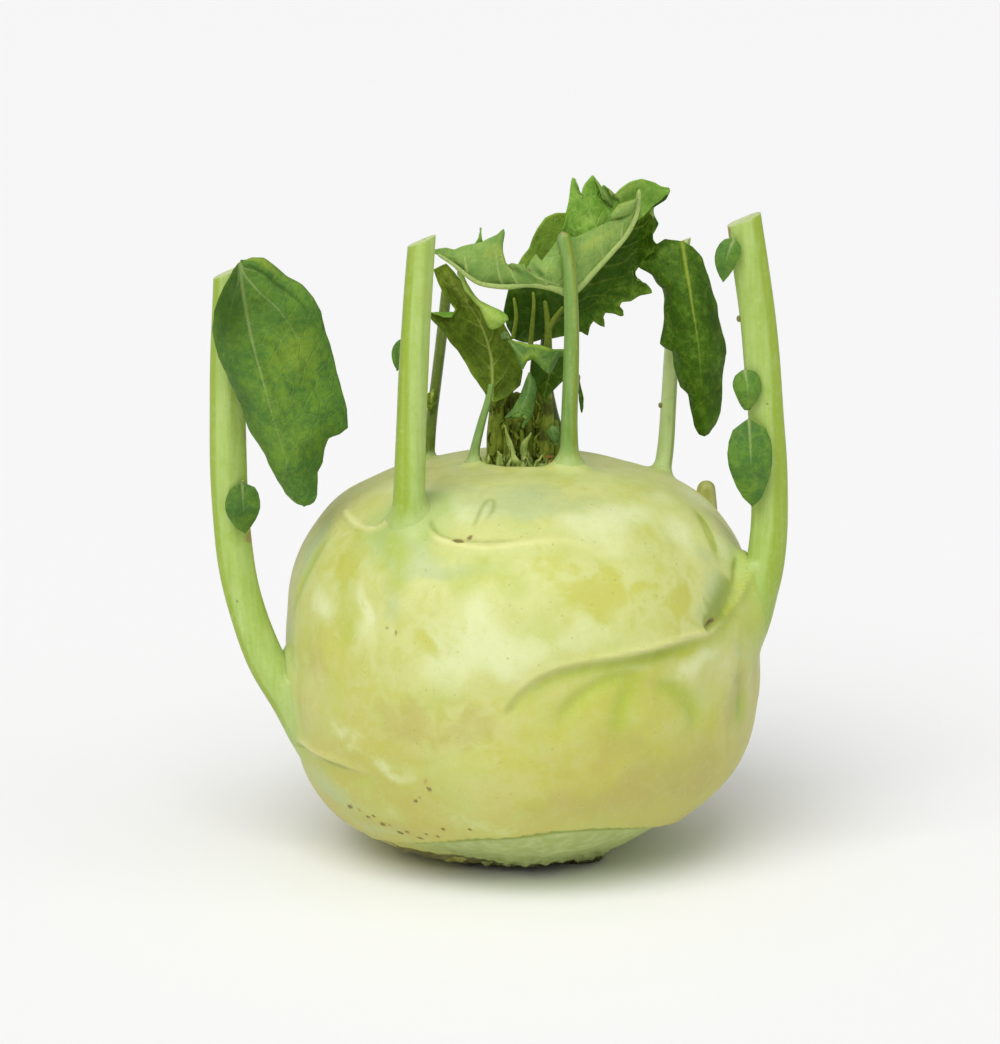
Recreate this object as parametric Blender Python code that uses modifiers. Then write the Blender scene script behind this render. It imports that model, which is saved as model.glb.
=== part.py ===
"""A kohlrabi: one swollen pale-green stem, its cut leaf stalks and the tuft of young leaves on its crown.

It stands on the flat cut where the root was. The origin is the centre of that cut, +Z is up, and the
front of the bulb, where the thick front stalk grows, faces -Y. Lengths below are in millimetres.
"""

import math

import bmesh
import bpy
from mathutils import Vector

MM = 0.001

# The bulb is turned about Z: two half superellipses that meet at its widest ring.
BULB_RADIUS = 50.0
WIDEST_AT = 42.0
CROWN_RISE = 42.0
FOOT_DROP = 43.3
CROWN_SQUARENESS = 2.8
FOOT_SQUARENESS = 2.6
BULB_SEGMENTS = 48
BULB_RINGS = 26

# Swellings (+) and hollows (-) of the skin: azimuth, height, spread in degrees, spread in height, size.
SWELLS = {
    "hollow above the foot, right": (-10.0, 7.0, 30.0, 8.0, -4.5),
    "fullness above the foot, left": (180.0, 14.0, 34.0, 9.0, 1.2),
    "seat of the right stalk": (-16.0, 52.0, 14.0, 12.0, 1.0),
    "seat of the front stalk": (-128.0, 71.0, 14.0, 8.0, 1.2),
}

CLEARANCE = 0.3
LEAF_THICKNESS = 0.7
CUT_LEAN = Vector((-0.42, 0.0, 1.0)).normalized()  # the knife's slant across every cut stalk

# Stalks: the points of the centre line from inside the bulb up, the radii at those points' ends and
# middle, and the height of the slanted cut at the top, or None for an uncut end.
STALKS = {
    "stalk_left": {
        "route": (
            (-38, -10, 24), (-45.5, -11.5, 27), (-50.5, -12, 35.5), (-54.5, -12, 45), (-58.6, -12, 60),
            (-60.3, -12, 75), (-60.6, -13, 92), (-60, -14, 110), (-58.8, -14, 131),
        ),
        "radii": (4.6, 3.9, 3.9),
        "cut_at": 126.0,
    },
    "stalk_front": {
        "route": (
            (-23.2, -20, 63), (-23, -26.5, 74), (-22.8, -28, 84), (-22.4, -28, 96), (-21.8, -28, 109),
            (-21, -28, 122), (-19.8, -28, 138),
        ),
        "radii": (4.0, 2.6, 2.2),
        "cut_at": 134.0,
    },
    "stalk_right": {
        "route": (
            (39, -10, 46), (46, -12, 51), (49.8, -12, 59.5), (51.4, -12, 70), (51.4, -12, 82),
            (50.4, -13, 96), (48.7, -13.5, 114), (46.8, -14, 127), (44.6, -14, 141),
        ),
        "radii": (4.8, 4.0, 3.7),
        "cut_at": 136.5,
    },
    "stalk_middle": {
        "route": (
            (10, -7.5, 78), (10, -8, 86), (10, -8, 94), (10.3, -8, 104), (10.4, -7.5, 114),
            (9.9, -7, 125), (8.5, -6, 133),
        ),
        "radii": (2.4, 1.7, 1.0),
        "cut_at": None,
    },
    "stalk_inner_left": {
        "route": ((-10.6, -4, 79), (-9.9, -4, 88), (-8.8, -4, 92.5), (-7.3, -4, 96), (-6.6, -4, 98)),
        "radii": (1.7, 1.1, 0.8),
        "cut_at": None,
    },
    "stalk_back_left": {
        "route": ((-20, 17, 76), (-19.2, 18, 88), (-18, 17.5, 98), (-16.9, 17, 107), (-15.7, 16, 118)),
        "radii": (1.6, 1.3, 1.2),
        "cut_at": None,
    },
    "stalk_back_right": {
        "route": (
            (29.5, 17, 72), (31.2, 20, 82), (31.8, 20, 92), (32.4, 20, 104), (33.3, 20, 116),
            (35.2, 20, 131),
        ),
        "radii": (2.4, 1.8, 1.35),
        "cut_at": 127.5,
    },
    "stub_back_right": {
        "route": ((39, 15, 62), (41, 16.8, 68), (40.6, 17, 71.5), (40, 17, 75)),
        "radii": (2.3, 2.0, 1.5),
        "cut_at": None,
    },
    "stalk_of_back_leaf": {
        "route": ((8.7, 4.5, 79), (8.2, 5.2, 87), (6.6, 6.2, 93), (5.3, 7.4, 100), (5.2, 8, 106), (5.6, 8, 110)),
        "radii": (1.9, 1.3, 1.1),
        "cut_at": None,
    },
}

# Young stems and bud scales of the crown: the centre line and the radii at its root, middle and tip.
CROWN = {
    "young_stem_left": (((-5, 2, 79), (-5.4, 2, 88), (-5, 2, 95)), (1.4, 1.2, 0.9)),
    "young_stem_centre": (((-1.5, 4, 79), (-1.6, 4, 87), (-1.4, 4, 93)), (1.4, 1.2, 0.9)),
    "young_stem_right": (((3.6, 1, 79), (3.2, 1, 88), (3, 1, 94)), (1.5, 1.3, 0.9)),
    "bud_scale_1": (((-6.4, -4.8, 80), (-6.9, -5.4, 85), (-6.1, -6, 87)), (1.1, 0.9, 0.5)),
    "bud_scale_2": (((-3.6, -6.2, 80), (-3.1, -7, 85.8), (-1.9, -7.2, 88.4)), (1.2, 0.9, 0.5)),
    "bud_scale_3": (((-0.4, -6.6, 80), (0, -7.4, 85.6), (0.6, -7.2, 89)), (1.1, 0.8, 0.45)),
    "bud_scale_4": (((2.4, -6.6, 80), (3.1, -7.4, 84.8), (4.2, -7.5, 86.8)), (1.1, 0.9, 0.5)),
    "bud_scale_5": (((5, -5.4, 80), (5.9, -5.4, 84.8), (6.7, -5, 86.4)), (1.1, 0.8, 0.5)),
    "bud_scale_6": (((-2.2, -2.6, 80), (-2.5, -2.9, 87), (-3, -3.2, 91)), (1.3, 1.0, 0.5)),
    "bud_scale_7": (((1.4, -2.8, 80), (1.8, -3.2, 87), (1.1, -3.5, 90.4)), (1.2, 0.9, 0.5)),
}

# Leaves: the left margin, the rib and the right margin, each from the leaf's base to its tip. Left and
# right are as seen from the front.
LEAVES = {
    "leaf_left": (
        ((-57.6, -19.6, 128.3), (-62, -21, 121), (-62.4, -22.5, 114), (-59, -24, 105.5), (-56.5, -25, 97),
         (-52, -24, 87.5), (-48.5, -22, 81), (-45.8, -20, 77.8)),
        ((-57, -19.6, 128.7), (-56, -24, 121.5), (-54.5, -26.5, 113.5), (-52.5, -27.5, 105.5),
         (-50.5, -27, 97.5), (-48, -25, 88.5), (-45.1, -20, 77.4)),
        ((-56.4, -19.6, 129), (-52.5, -18.5, 129.5), (-47, -17, 125), (-40.8, -16, 117), (-38, -16.5, 108),
         (-35.6, -18, 98), (-36.2, -19, 93), (-40.8, -20.5, 88), (-42, -20.5, 82), (-44.2, -20, 77.8)),
    ),
    "leaf_back_right": (
        ((33.6, 16, 127.4), (30, 14.6, 128.2), (26, 12.6, 123.5), (29.5, 12.4, 118), (30.2, 12.6, 110.4),
         (30.5, 12.6, 105.7), (34, 10.6, 97.5), (36.4, 10.6, 92), (38.4, 11.5, 87)),
        ((34.2, 16, 127.2), (34.8, 12.6, 122.5), (36.2, 9, 114.5), (37.6, 8, 106), (38.5, 8.6, 97),
         (39, 11.5, 86.8)),
        ((34.8, 16, 127.2), (38.5, 16, 124), (41.5, 15.5, 115), (43.5, 15.2, 105), (43, 14, 97),
         (41.3, 12.6, 89), (39.8, 11.5, 87)),
    ),
    "leaf_middle": (
        ((9.4, -4.4, 120.6), (1, -7, 122), (-7.5, -10, 122.2), (-12.2, -12.4, 126.2), (-16.6, -13, 129.4),
         (-9, -8.5, 132), (-1.5, -5, 127), (4.2, -3, 131), (8.5, -1, 137), (13.2, 2, 143)),
        ((10, -4.4, 120.8), (9, -4.4, 126.5), (9.4, -3, 132), (11.5, 0, 137.5), (14, 3, 144)),
        ((10.6, -4.4, 120.6), (18.5, 0, 127), (22.6, 4, 132.5), (24, 7, 138.6), (18, 4.4, 140.4),
         (14.8, 3, 143)),
    ),
    "leaf_back": (
        ((5, 5.5, 109.8), (-1, 6, 110.5), (-4, 6, 117), (-1.5, 5, 124.5), (3, 5, 130.5), (8, 6.6, 135.6),
         (14.5, 8, 137.5), (19, 9, 139.5), (26, 11, 142), (30.6, 11, 141)),
        ((5.6, 5.5, 109.5), (8, 5, 115), (13.5, 6, 120.5), (18.5, 8, 126.5), (24, 10, 133.5), (27, 11, 137.5),
         (31.2, 11, 140.4)),
        ((6.2, 5.5, 109.2), (12.5, 8, 109.5), (21, 13, 113.4), (26.4, 16.6, 118.6), (27.8, 17, 127),
         (28.6, 14.5, 133.3), (31.2, 11, 139.6)),
    ),
    "leaf_inner_left": (
        ((-6.8, -3.8, 99.6), (-10, -1.5, 102), (-15, -1.4, 109.5), (-19, -3, 115), (-17, -5, 119),
         (-18.6, -8.6, 125.4)),
        ((-6.3, -4, 99.3), (-6, -4.6, 105), (-8, -6, 112), (-12.5, -8, 119), (-17.6, -10.2, 126)),
        ((-5.8, -4, 99.6), (0, -3, 100.5), (0.5, -3.4, 107), (-3.5, -6.6, 114), (-9.5, -10, 118),
         (-13.8, -10.8, 124), (-16.8, -10.6, 126.4)),
    ),
    "leaf_curled": (
        ((-4.2, -7, 112.6), (-2.5, -6.5, 111), (3, -5.5, 109.6), (7, -4.5, 108.8), (8.8, -3.6, 108)),
        ((-4.2, -8, 112.2), (-1.5, -9, 109.6), (3, -9, 108), (6, -7, 107.2), (9.2, -4.2, 107.2)),
        ((-3.8, -8.4, 111.4), (-2, -8.5, 104.8), (1.5, -9, 106.6), (5, -7.5, 103.6), (9, -4.4, 106.2)),
    ),
    "leaf_drooping": (
        ((1.6, -4, 102.4), (0, -5, 100), (-2, -6, 97.5), (-3.5, -6, 93.8), (-0.4, -6.4, 93.4)),
        ((2.2, -4, 102.6), (1.7, -6.3, 100), (1.2, -7.4, 97), (0.2, -7, 93)),
        ((2.8, -4, 102.4), (3.4, -5, 100), (3.6, -6, 97.5), (2.4, -6, 94), (0.9, -6.4, 92.8)),
    ),
    "leaf_centre": (
        ((2.4, 1, 106), (2.8, 1, 102.5), (4.2, 1, 99), (5.4, 1, 96.8)),
        ((5.6, 1, 106.5), (6.5, 0, 102.5), (6.5, 0, 99), (6, 1, 96.5)),
        ((9.4, 2, 106), (9.4, 2, 102.5), (8, 2, 99.5), (6.6, 1, 96.8)),
    ),
    "leaf_crown_side": (
        ((4.8, -3, 90.2), (5.8, -3, 88.6), (7.4, -3, 87.4)),
        ((5, -3, 90.8), (6.5, -3.5, 89.8), (8, -3, 87.8)),
        ((5.2, -3, 91.4), (7.2, -3, 91), (8.6, -3, 88.4)),
    ),
    "leaflet_left_low": (
        ((-58, -17, 82.3), (-60.3, -17.5, 80), (-60, -18, 75), (-58, -17.4, 72)),
        ((-57.4, -17, 82.5), (-57.3, -18.2, 77.5), (-57.2, -17.4, 71.8)),
        ((-56.8, -17, 82.3), (-54.2, -17, 79.5), (-54.3, -17, 75), (-56.4, -17.4, 72)),
    ),
    "leaflet_front_side": (
        ((-24.4, -24.6, 113.4), (-26.6, -24.6, 111.4), (-26.2, -24.6, 108.6), (-24.6, -24.6, 107.8)),
        ((-23.8, -24.6, 113.6), (-23.9, -24.2, 110.6), (-24, -24.6, 107.6)),
        ((-23.2, -24.6, 113.4), (-22, -24.6, 110.6), (-23.4, -24.6, 107.8)),
    ),
    "leaflet_back_left": (
        ((-19.4, 15.6, 95.6), (-20.6, 15.4, 93.4), (-19.8, 15.6, 91)),
        ((-18.8, 15.4, 95.8), (-19, 15.2, 93.4), (-19.2, 15.4, 90.8)),
        ((-18.2, 15.6, 95.6), (-17.8, 15.6, 93.4), (-18.6, 15.6, 91)),
    ),
    "leaflet_right_top": (
        ((42.7, -18.6, 133), (39.6, -19, 131), (39, -19, 127.8), (40.6, -18.8, 125)),
        ((43.2, -18.6, 133.2), (41.7, -19.6, 129.5), (41.2, -18.8, 124.4)),
        ((43.8, -18.6, 133), (43.9, -18.8, 130), (42, -18.8, 125)),
    ),
    "leaflet_right_middle": (
        ((45.4, -18, 105.8), (43.6, -18.6, 102.5), (43.7, -18.6, 99.8), (45.6, -18, 98)),
        ((46, -18, 106.2), (46.4, -19.2, 102), (46.3, -18, 97.8)),
        ((46.6, -18, 105.8), (49.2, -18.2, 102), (49, -18.2, 99.8), (47, -18, 98)),
    ),
    "leaflet_right_low": (
        ((46.4, -18, 95.7), (43, -18.6, 91.5), (42.2, -19, 87), (44.5, -19, 81.5), (46.9, -18.5, 77.8)),
        ((47, -18, 96), (48, -20, 88), (47.6, -18.5, 77.4)),
        ((47.6, -18, 95.7), (50.4, -18.2, 92), (51, -18.6, 87), (50.2, -18.6, 82.5), (48.2, -18.5, 77.8)),
    ),
    "leaflet_middle": (
        ((11.4, -4.2, 102.2), (11.9, -4.2, 99), (12.4, -4.2, 95)),
        ((11.8, -4.2, 102.4), (12.4, -4.6, 99), (12.7, -4.2, 94.8)),
        ((12.2, -4.2, 102.2), (13, -4.2, 99), (13.1, -4.2, 95)),
    ),
}
LARGE_LEAVES = ("leaf_left", "leaf_back_right", "leaf_middle", "leaf_back", "leaf_inner_left")

COLOURS = {  # base colour and roughness of each finish
    "bulb_skin": ((0.56, 0.63, 0.27), 0.42),
    "stalk": ((0.42, 0.58, 0.20), 0.45),
    "leaf_green": ((0.10, 0.24, 0.05), 0.50),
    "leaf_pale": ((0.26, 0.43, 0.14), 0.55),
    "bud_scale": ((0.50, 0.58, 0.24), 0.50),
}
PALE_LEAVES = ("leaf_middle", "leaf_curled", "leaf_drooping", "leaf_crown_side")


def clear_scene():
    for obj in list(bpy.data.objects):
        bpy.data.objects.remove(obj)


def collection(name, in_render=True):
    made = bpy.data.collections.new(name)
    made.hide_render = not in_render
    bpy.context.scene.collection.children.link(made)
    return made


def materials():
    """The Principled material of each finish, by name."""
    made = {}
    for name, (colour, roughness) in COLOURS.items():
        material = bpy.data.materials.new(name)
        material.use_nodes = True
        shader = material.node_tree.nodes["Principled BSDF"]
        shader.inputs["Base Color"].default_value = (*colour, 1.0)
        shader.inputs["Roughness"].default_value = roughness
        shader.inputs["Metallic"].default_value = 0.0
        made[name] = material
    return made


def object_from(name, mesh, finish, group):
    """A smooth-shaded object of the mesh, with its finish, in the collection."""
    mesh.materials.append(finish)
    mesh.shade_smooth()
    made = bpy.data.objects.new(name, mesh)
    group.objects.link(made)
    return made


def swell(azimuth, height):
    """How far the skin stands out from the turned shape."""
    total = 0.0
    for where, level, spread, rise, size in SWELLS.values():
        turn = (azimuth - where + 180.0) % 360.0 - 180.0
        total += size * math.exp(-((turn / spread) ** 2) - ((height - level) / rise) ** 2)
    return total


def bulb_point(direction, grown):
    """The skin's point, in millimetres, for a point of the unit sphere."""
    above = direction.z > 0
    drop = CROWN_RISE if above else FOOT_DROP
    power = CROWN_SQUARENESS if above else FOOT_SQUARENESS
    level = math.hypot(direction.x, direction.y)
    reach = (level**power + abs(direction.z) ** power) ** (-1 / power)
    radius = BULB_RADIUS * reach * level
    height = WIDEST_AT + drop * reach * direction.z
    azimuth = math.degrees(math.atan2(direction.y, direction.x))
    out = Vector((level ** (power - 1), abs(direction.z) ** (power - 1))).normalized()
    step = swell(azimuth, height) * min(1.0, 2 * level) + grown
    radius += out.x * step
    height += math.copysign(out.y, direction.z) * step
    turn = math.radians(azimuth)
    return Vector((radius * math.cos(turn), radius * math.sin(turn), height))


def bulb_mesh(name, grown=0.0):
    """The bulb, grown outwards by a clearance, and cut flat at its foot."""
    shape = bmesh.new()
    bmesh.ops.create_uvsphere(shape, u_segments=BULB_SEGMENTS, v_segments=BULB_RINGS, radius=1.0)
    for vertex in shape.verts:
        vertex.co = bulb_point(vertex.co.normalized(), grown) * MM
    cut_flat(shape, Vector((0, 0, -grown * MM)), Vector((0, 0, -1)))
    mesh = bpy.data.meshes.new(name)
    shape.to_mesh(mesh)
    shape.free()
    return mesh


def cut_flat(shape, point, outwards):
    """Removes what lies beyond a plane and closes the cut with one flat face."""
    everything = shape.verts[:] + shape.edges[:] + shape.faces[:]
    bmesh.ops.bisect_plane(
        shape, geom=everything, dist=1e-7, plane_co=point, plane_no=outwards, clear_outer=True
    )
    rim = [edge for edge in shape.edges if edge.is_boundary]
    bmesh.ops.contextual_create(shape, geom=rim)


def smooth_route(points, count):
    """Points evenly spaced along a smooth curve through the given ones."""
    knots = [Vector(point) for point in points]
    knots = [2 * knots[0] - knots[1], *knots, 2 * knots[-1] - knots[-2]]
    fine = []
    steps = 12
    for before, start, end, after in zip(knots, knots[1:], knots[2:], knots[3:]):
        for step in range(steps):
            t = step / steps
            fine.append(
                0.5 * (2 * start + (end - before) * t)
                + 0.5 * (2 * before - 5 * start + 4 * end - after) * t**2
                + 0.5 * (3 * start - 3 * end + after - before) * t**3
            )
    fine.append(knots[-2])
    lengths = [0.0]
    for first, second in zip(fine, fine[1:]):
        lengths.append(lengths[-1] + (second - first).length)
    route = []
    place = 0
    for index in range(count):
        target = lengths[-1] * index / (count - 1)
        while place < len(fine) - 2 and lengths[place + 1] < target:
            place += 1
        share = (target - lengths[place]) / max(lengths[place + 1] - lengths[place], 1e-9)
        route.append(fine[place].lerp(fine[place + 1], min(share, 1.0)))
    return route


def tube(name, points, radii, count, finish, group):
    """A round stem as a mesh: a curve through the points, thinning from its root to its tip."""
    route = smooth_route(points, count)
    curve = bpy.data.curves.new(name, "CURVE")
    curve.dimensions = "3D"
    curve.bevel_depth = max(radii) * MM
    curve.bevel_resolution = 2
    curve.use_fill_caps = True
    spline = curve.splines.new("POLY")
    spline.points.add(len(route) - 1)
    root, middle, tip = radii
    for index, (place, point) in enumerate(zip(route, spline.points)):
        share = index / (count - 1)
        swelled = middle + (root - middle) * max(0.0, 1 - 3 * share) ** 2
        thinned = swelled + (tip - middle) * share
        point.co = (*(place * MM), 1.0)
        point.radius = thinned / max(radii)
    guide = bpy.data.objects.new(name + "_line", curve)
    group.objects.link(guide)
    graph = bpy.context.evaluated_depsgraph_get()
    mesh = bpy.data.meshes.new_from_object(guide.evaluated_get(graph))
    shape = bmesh.new()
    shape.from_mesh(mesh)
    bmesh.ops.remove_doubles(shape, verts=shape.verts, dist=1e-6)
    shape.to_mesh(mesh)
    shape.free()
    made = object_from(name, mesh, finish, group)
    made.matrix_world = guide.matrix_world
    bpy.data.objects.remove(guide)
    return made


def slant_top(obj, height, route):
    """Cuts a stalk across with the knife's slant, where its centre line reaches the height."""
    above = min(route, key=lambda point: abs(point[2] - height))
    shape = bmesh.new()
    shape.from_mesh(obj.data)
    cut_flat(shape, Vector((above[0], above[1], height)) * MM, CUT_LEAN)
    shape.to_mesh(obj.data)
    shape.free()


def trim(obj, cutter):
    """Cuts off what lies inside the bulb, with a hair's clearance to its skin."""
    cut = obj.modifiers.new("clear_of_bulb", "BOOLEAN")
    cut.operation = "DIFFERENCE"
    cut.solver = "EXACT"
    cut.object = cutter


def leaf(name, margins, rows, columns, finish, group):
    """A thin blade: a grid laid between the left margin, the rib and the right margin."""
    left, rib, right = (smooth_route(points, rows + 1) for points in margins)
    shape = bmesh.new()
    bmesh.ops.create_grid(shape, x_segments=rows, y_segments=columns, size=1.0)
    for vertex in shape.verts:
        row = round((vertex.co.x + 1) / 2 * rows)
        side = left if vertex.co.y > 0 else right
        vertex.co = rib[row].lerp(side[row], abs(vertex.co.y)) * MM
    mesh = bpy.data.meshes.new(name)
    shape.to_mesh(mesh)
    shape.free()
    made = object_from(name, mesh, finish, group)
    thicken = made.modifiers.new("thickness", "SOLIDIFY")
    thicken.thickness = LEAF_THICKNESS * MM
    thicken.offset = 0.0
    return made


def main():
    clear_scene()
    parts = collection("kohlrabi")
    cutters = collection("cutters", in_render=False)
    finish = materials()
    object_from("bulb", bulb_mesh("bulb"), finish["bulb_skin"], parts)
    clearance = object_from(
        "bulb_clearance", bulb_mesh("bulb_clearance", CLEARANCE), finish["bulb_skin"], cutters
    )
    clearance.hide_render = True
    clearance.display_type = "WIRE"
    for name, stalk in STALKS.items():
        made = tube(name, stalk["route"], stalk["radii"], 14, finish["stalk"], parts)
        if stalk["cut_at"]:
            slant_top(made, stalk["cut_at"], smooth_route(stalk["route"], 60))
        trim(made, clearance)
    for name, (route, radii) in CROWN.items():
        kind = "stalk" if name.startswith("young") else "bud_scale"
        trim(tube(name, route, radii, 6, finish[kind], parts), clearance)
    for name, margins in LEAVES.items():
        rows, columns = (12, 6) if name in LARGE_LEAVES else (6, 4)
        kind = "leaf_pale" if name in PALE_LEAVES else "leaf_green"
        leaf(name, margins, rows, columns, finish[kind], parts)


main()
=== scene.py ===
"""The finished look of a kohlrabi: its pale skin with the ridges that the leaf stalks leave, the cut
stalks, the leaves that are left on them and the tuft of young growth on its crown.

Lengths are in millimetres and are turned into metres when a mesh is stored. +Z is up and -Y is the front.
"""

import math

import bmesh
import bpy
import numpy as np
from mathutils import Matrix, Vector
from mathutils.bvhtree import BVHTree


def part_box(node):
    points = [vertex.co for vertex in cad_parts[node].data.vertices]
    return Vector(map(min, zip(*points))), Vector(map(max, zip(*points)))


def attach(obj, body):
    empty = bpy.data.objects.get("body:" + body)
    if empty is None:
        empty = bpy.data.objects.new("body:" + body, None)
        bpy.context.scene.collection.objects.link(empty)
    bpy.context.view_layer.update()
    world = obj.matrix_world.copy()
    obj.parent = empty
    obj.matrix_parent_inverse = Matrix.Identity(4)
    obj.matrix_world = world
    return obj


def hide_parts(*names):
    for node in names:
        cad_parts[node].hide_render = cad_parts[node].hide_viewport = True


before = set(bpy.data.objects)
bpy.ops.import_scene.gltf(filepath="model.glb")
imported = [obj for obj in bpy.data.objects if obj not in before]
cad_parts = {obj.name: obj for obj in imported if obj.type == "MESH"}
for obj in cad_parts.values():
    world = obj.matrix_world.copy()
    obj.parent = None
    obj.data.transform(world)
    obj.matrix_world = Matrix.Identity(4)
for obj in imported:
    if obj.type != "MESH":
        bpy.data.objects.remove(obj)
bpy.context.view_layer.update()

MM = 0.001

# ---------------------------------------------------------------- the bulb's turned shape

BULB_LOW, BULB_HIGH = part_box("bulb")
BULB_RADIUS = (BULB_HIGH.y - BULB_LOW.y) / 2 / MM
CROWN_TOP = BULB_HIGH.z / MM
WIDEST_AT = CROWN_TOP / 2
CROWN_RISE = CROWN_TOP - WIDEST_AT
FOOT_DROP = 43.3
CROWN_SQUARENESS = 2.8
FOOT_SQUARENESS = 2.6

# Swellings (+) and hollows (-) of the skin: azimuth, height, spread in degrees, spread in height, size.
SWELLS = {
    "hollow above the foot, right": (-10.0, 7.0, 30.0, 8.0, -3.3),
    "corner of the foot": (-42.0, 6.5, 14.0, 4.5, 0.5),
    "fullness above the foot, left": (180.0, 14.0, 34.0, 9.0, 1.2),
    "seat of the right stalk": (-17.0, 55.0, 9.0, 9.0, 2.4),
    "fullness of the right side": (-5.0, 36.0, 20.0, 13.0, 1.2),
    "seat of the front stalk": (-128.0, 71.0, 14.0, 8.0, 1.2),
}

# Lips: the thin ridges that run from a stalk's base round the skin, as azimuth and height, each from
# its right end to its left end seen from outside. Crest, shelf above and drop below at both ends and
# the middle, then the width of the crest. "bare" is how far along a ridge its pale crest begins. The
# pale crest is partly a painted highlight, and the skin just below each lip takes painted shade.
LIPS = {
    "right_front": {
        "line": (
            (-15, 66), (-19, 63), (-24, 60), (-30, 57.2), (-35.5, 55.2), (-40, 54.2), (-47.6, 54.2),
            (-56.7, 53.4), (-66.7, 52.7), (-76.5, 51.8), (-83.8, 50.3), (-89, 47.5), (-92.8, 44.2),
            (-96, 40),
        ),
        "crest": (0.8, 0.8, 0.0), "shelf": (-1.9, 0.8, 0.1), "drop": (-0.9, 1.6, 0.5), "width": 0.85,
        "bare": 0.2,
    },
    "front_right": {
        "line": (
            (-64, 69.5), (-71, 73.5), (-80, 74.9), (-90.6, 74.5), (-99, 73.8), (-105, 73.8), (-111, 74.2),
            (-116, 74.7), (-120.6, 76.1),
        ),
        "crest": (0.0, 0.75, 1.1), "shelf": (0.0, -0.55, -0.7), "drop": (0.1, 0.25, 0.2), "width": 1.05,
    },
    "front_left": {
        "line": (
            (-130, 76.6), (-134, 75.4), (-137.5, 74.4), (-142.6, 74), (-148.4, 74.3), (-155.8, 74.9),
            (-163, 75.6),
        ),
        "crest": (1.3, 1.1, 0.8), "shelf": (-0.5, -0.5, -0.2), "drop": (0.2, 0.3, 0.2), "width": 0.7,
    },
    "left_front": {
        "line": (
            (-124, 25.4), (-129.9, 25.9), (-135.2, 26.3), (-141.5, 26.7), (-153.6, 26.9), (-162, 27.2),
        ),
        "crest": (0.0, 0.45, 0.6), "shelf": (0.0, 0.15, 0.1), "drop": (0.1, 0.5, 0.6), "width": 1.1,
    },
    "left_behind": {
        "line": ((172, 27.5), (158, 30), (142, 34), (126, 36), (112, 35), (100, 32)),
        "crest": (0.6, 0.7, 0.0), "shelf": (0.1, 0.4, 0.0), "drop": (0.8, 0.9, 0.2), "width": 1.1,
    },
    "right_behind": {
        "line": ((74, 44), (58, 50), (40, 53.5), (22, 55), (6, 55), (-4, 54.5)), "crest": (0.0, 0.7, 1.0),
        "shelf": (0.1, 0.4, 0.5), "drop": (0.2, 0.9, 0.8), "width": 1.1,
    },
    "back_right": {
        "line": ((84, 66), (70, 71.5), (56, 74.5), (42, 76), (32, 76.6)), "crest": (0.0, 0.6, 0.8),
        "shelf": (0.0, -0.3, -0.3), "drop": (0.1, 0.4, 0.3), "width": 1.1,
    },
    "back_left": {
        "line": ((178, 70), (164, 74.5), (150, 76.8), (136, 77.8), (120, 76.5), (106, 72)),
        "crest": (0.0, 0.6, 0.2), "shelf": (0.0, -0.2, 0.0), "drop": (0.1, 0.5, 0.2), "width": 1.1,
    },
}

# Grooves: shallow furrows in the skin, as azimuth and height, with their depth and width. Painted
# shade darkens each furrow.
GROOVES = {
    "arc_inner": (
        ((-56, 49.6), (-61.5, 48.8), (-69.3, 48), (-75.4, 45.2), (-80.1, 41.3), (-82, 36)), 0.7, 1.6,
    ),
    "arc_middle": (((-59, 51.5), (-62.5, 48.2), (-65.3, 44.6), (-66.8, 40.5), (-68.6, 34)), 0.35, 1.7),
    "arc_outer": (
        ((-60.5, 46), (-56.5, 45.4), (-52, 44.2), (-48, 41.2), (-45.2, 37.6), (-44.7, 32.5)), 0.7, 1.5,
    ),
    "left_fold": (
        ((-159, 73.2), (-158, 69), (-159.5, 64.4), (-162, 59), (-165, 54.4), (-169.6, 52)), 0.3, 1.1,
    ),
    "right_shoulder": (((-18.4, 76.4), (-25.2, 71.2), (-26.6, 66)), 0.4, 0.9),
    "axil": (((-37, 56.6), (-39, 55.4), (-41.5, 54.9)), 1.0, 0.8),
    "right_edge": (((-28.5, 41), (-26, 35.5), (-24.6, 30)), 0.35, 2.2),
    "back_low": (((130, 30), (112, 26), (96, 24), (80, 26)), 0.5, 1.3),
    "back_high": (((60, 62), (72, 60), (86, 61), (98, 64)), 0.4, 1.2),
}

# The collar: above this line the skin hangs over the narrower band where the root was; painted shade
# runs just under its edge.
COLLAR = (
    (52, 9), (26, 9.6), (2, 9.4), (-20, 9.8), (-34, 10.4), (-44, 11.4), (-51.7, 12.5), (-55, 13.1),
    (-68.7, 15.1), (-80, 15.5), (-90.5, 14.1), (-100, 13.1), (-113, 10.9), (-130.3, 8.3), (-142, 6.6),
)
COLLAR_STEP = 2.0
FOOT_CENTRE = (3.0, 0.0)
FOOT_RADIUS = 16.0
FOOT_LIFT = 1.0
ROOT_EDGE = (
    (
        ((-150, 8.0), (-143, 6.6), (-135, 5.0), (-126, 3.6), (-116, 2.5), (-104, 1.8), (-90, 1.4)), 0.85,
        1.05,
    ),
)

CROWN_CENTRE = (1.0, -1.0)
RECESS_RADIUS = 9.5
RECESS_DEPTH = 2.6
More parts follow.
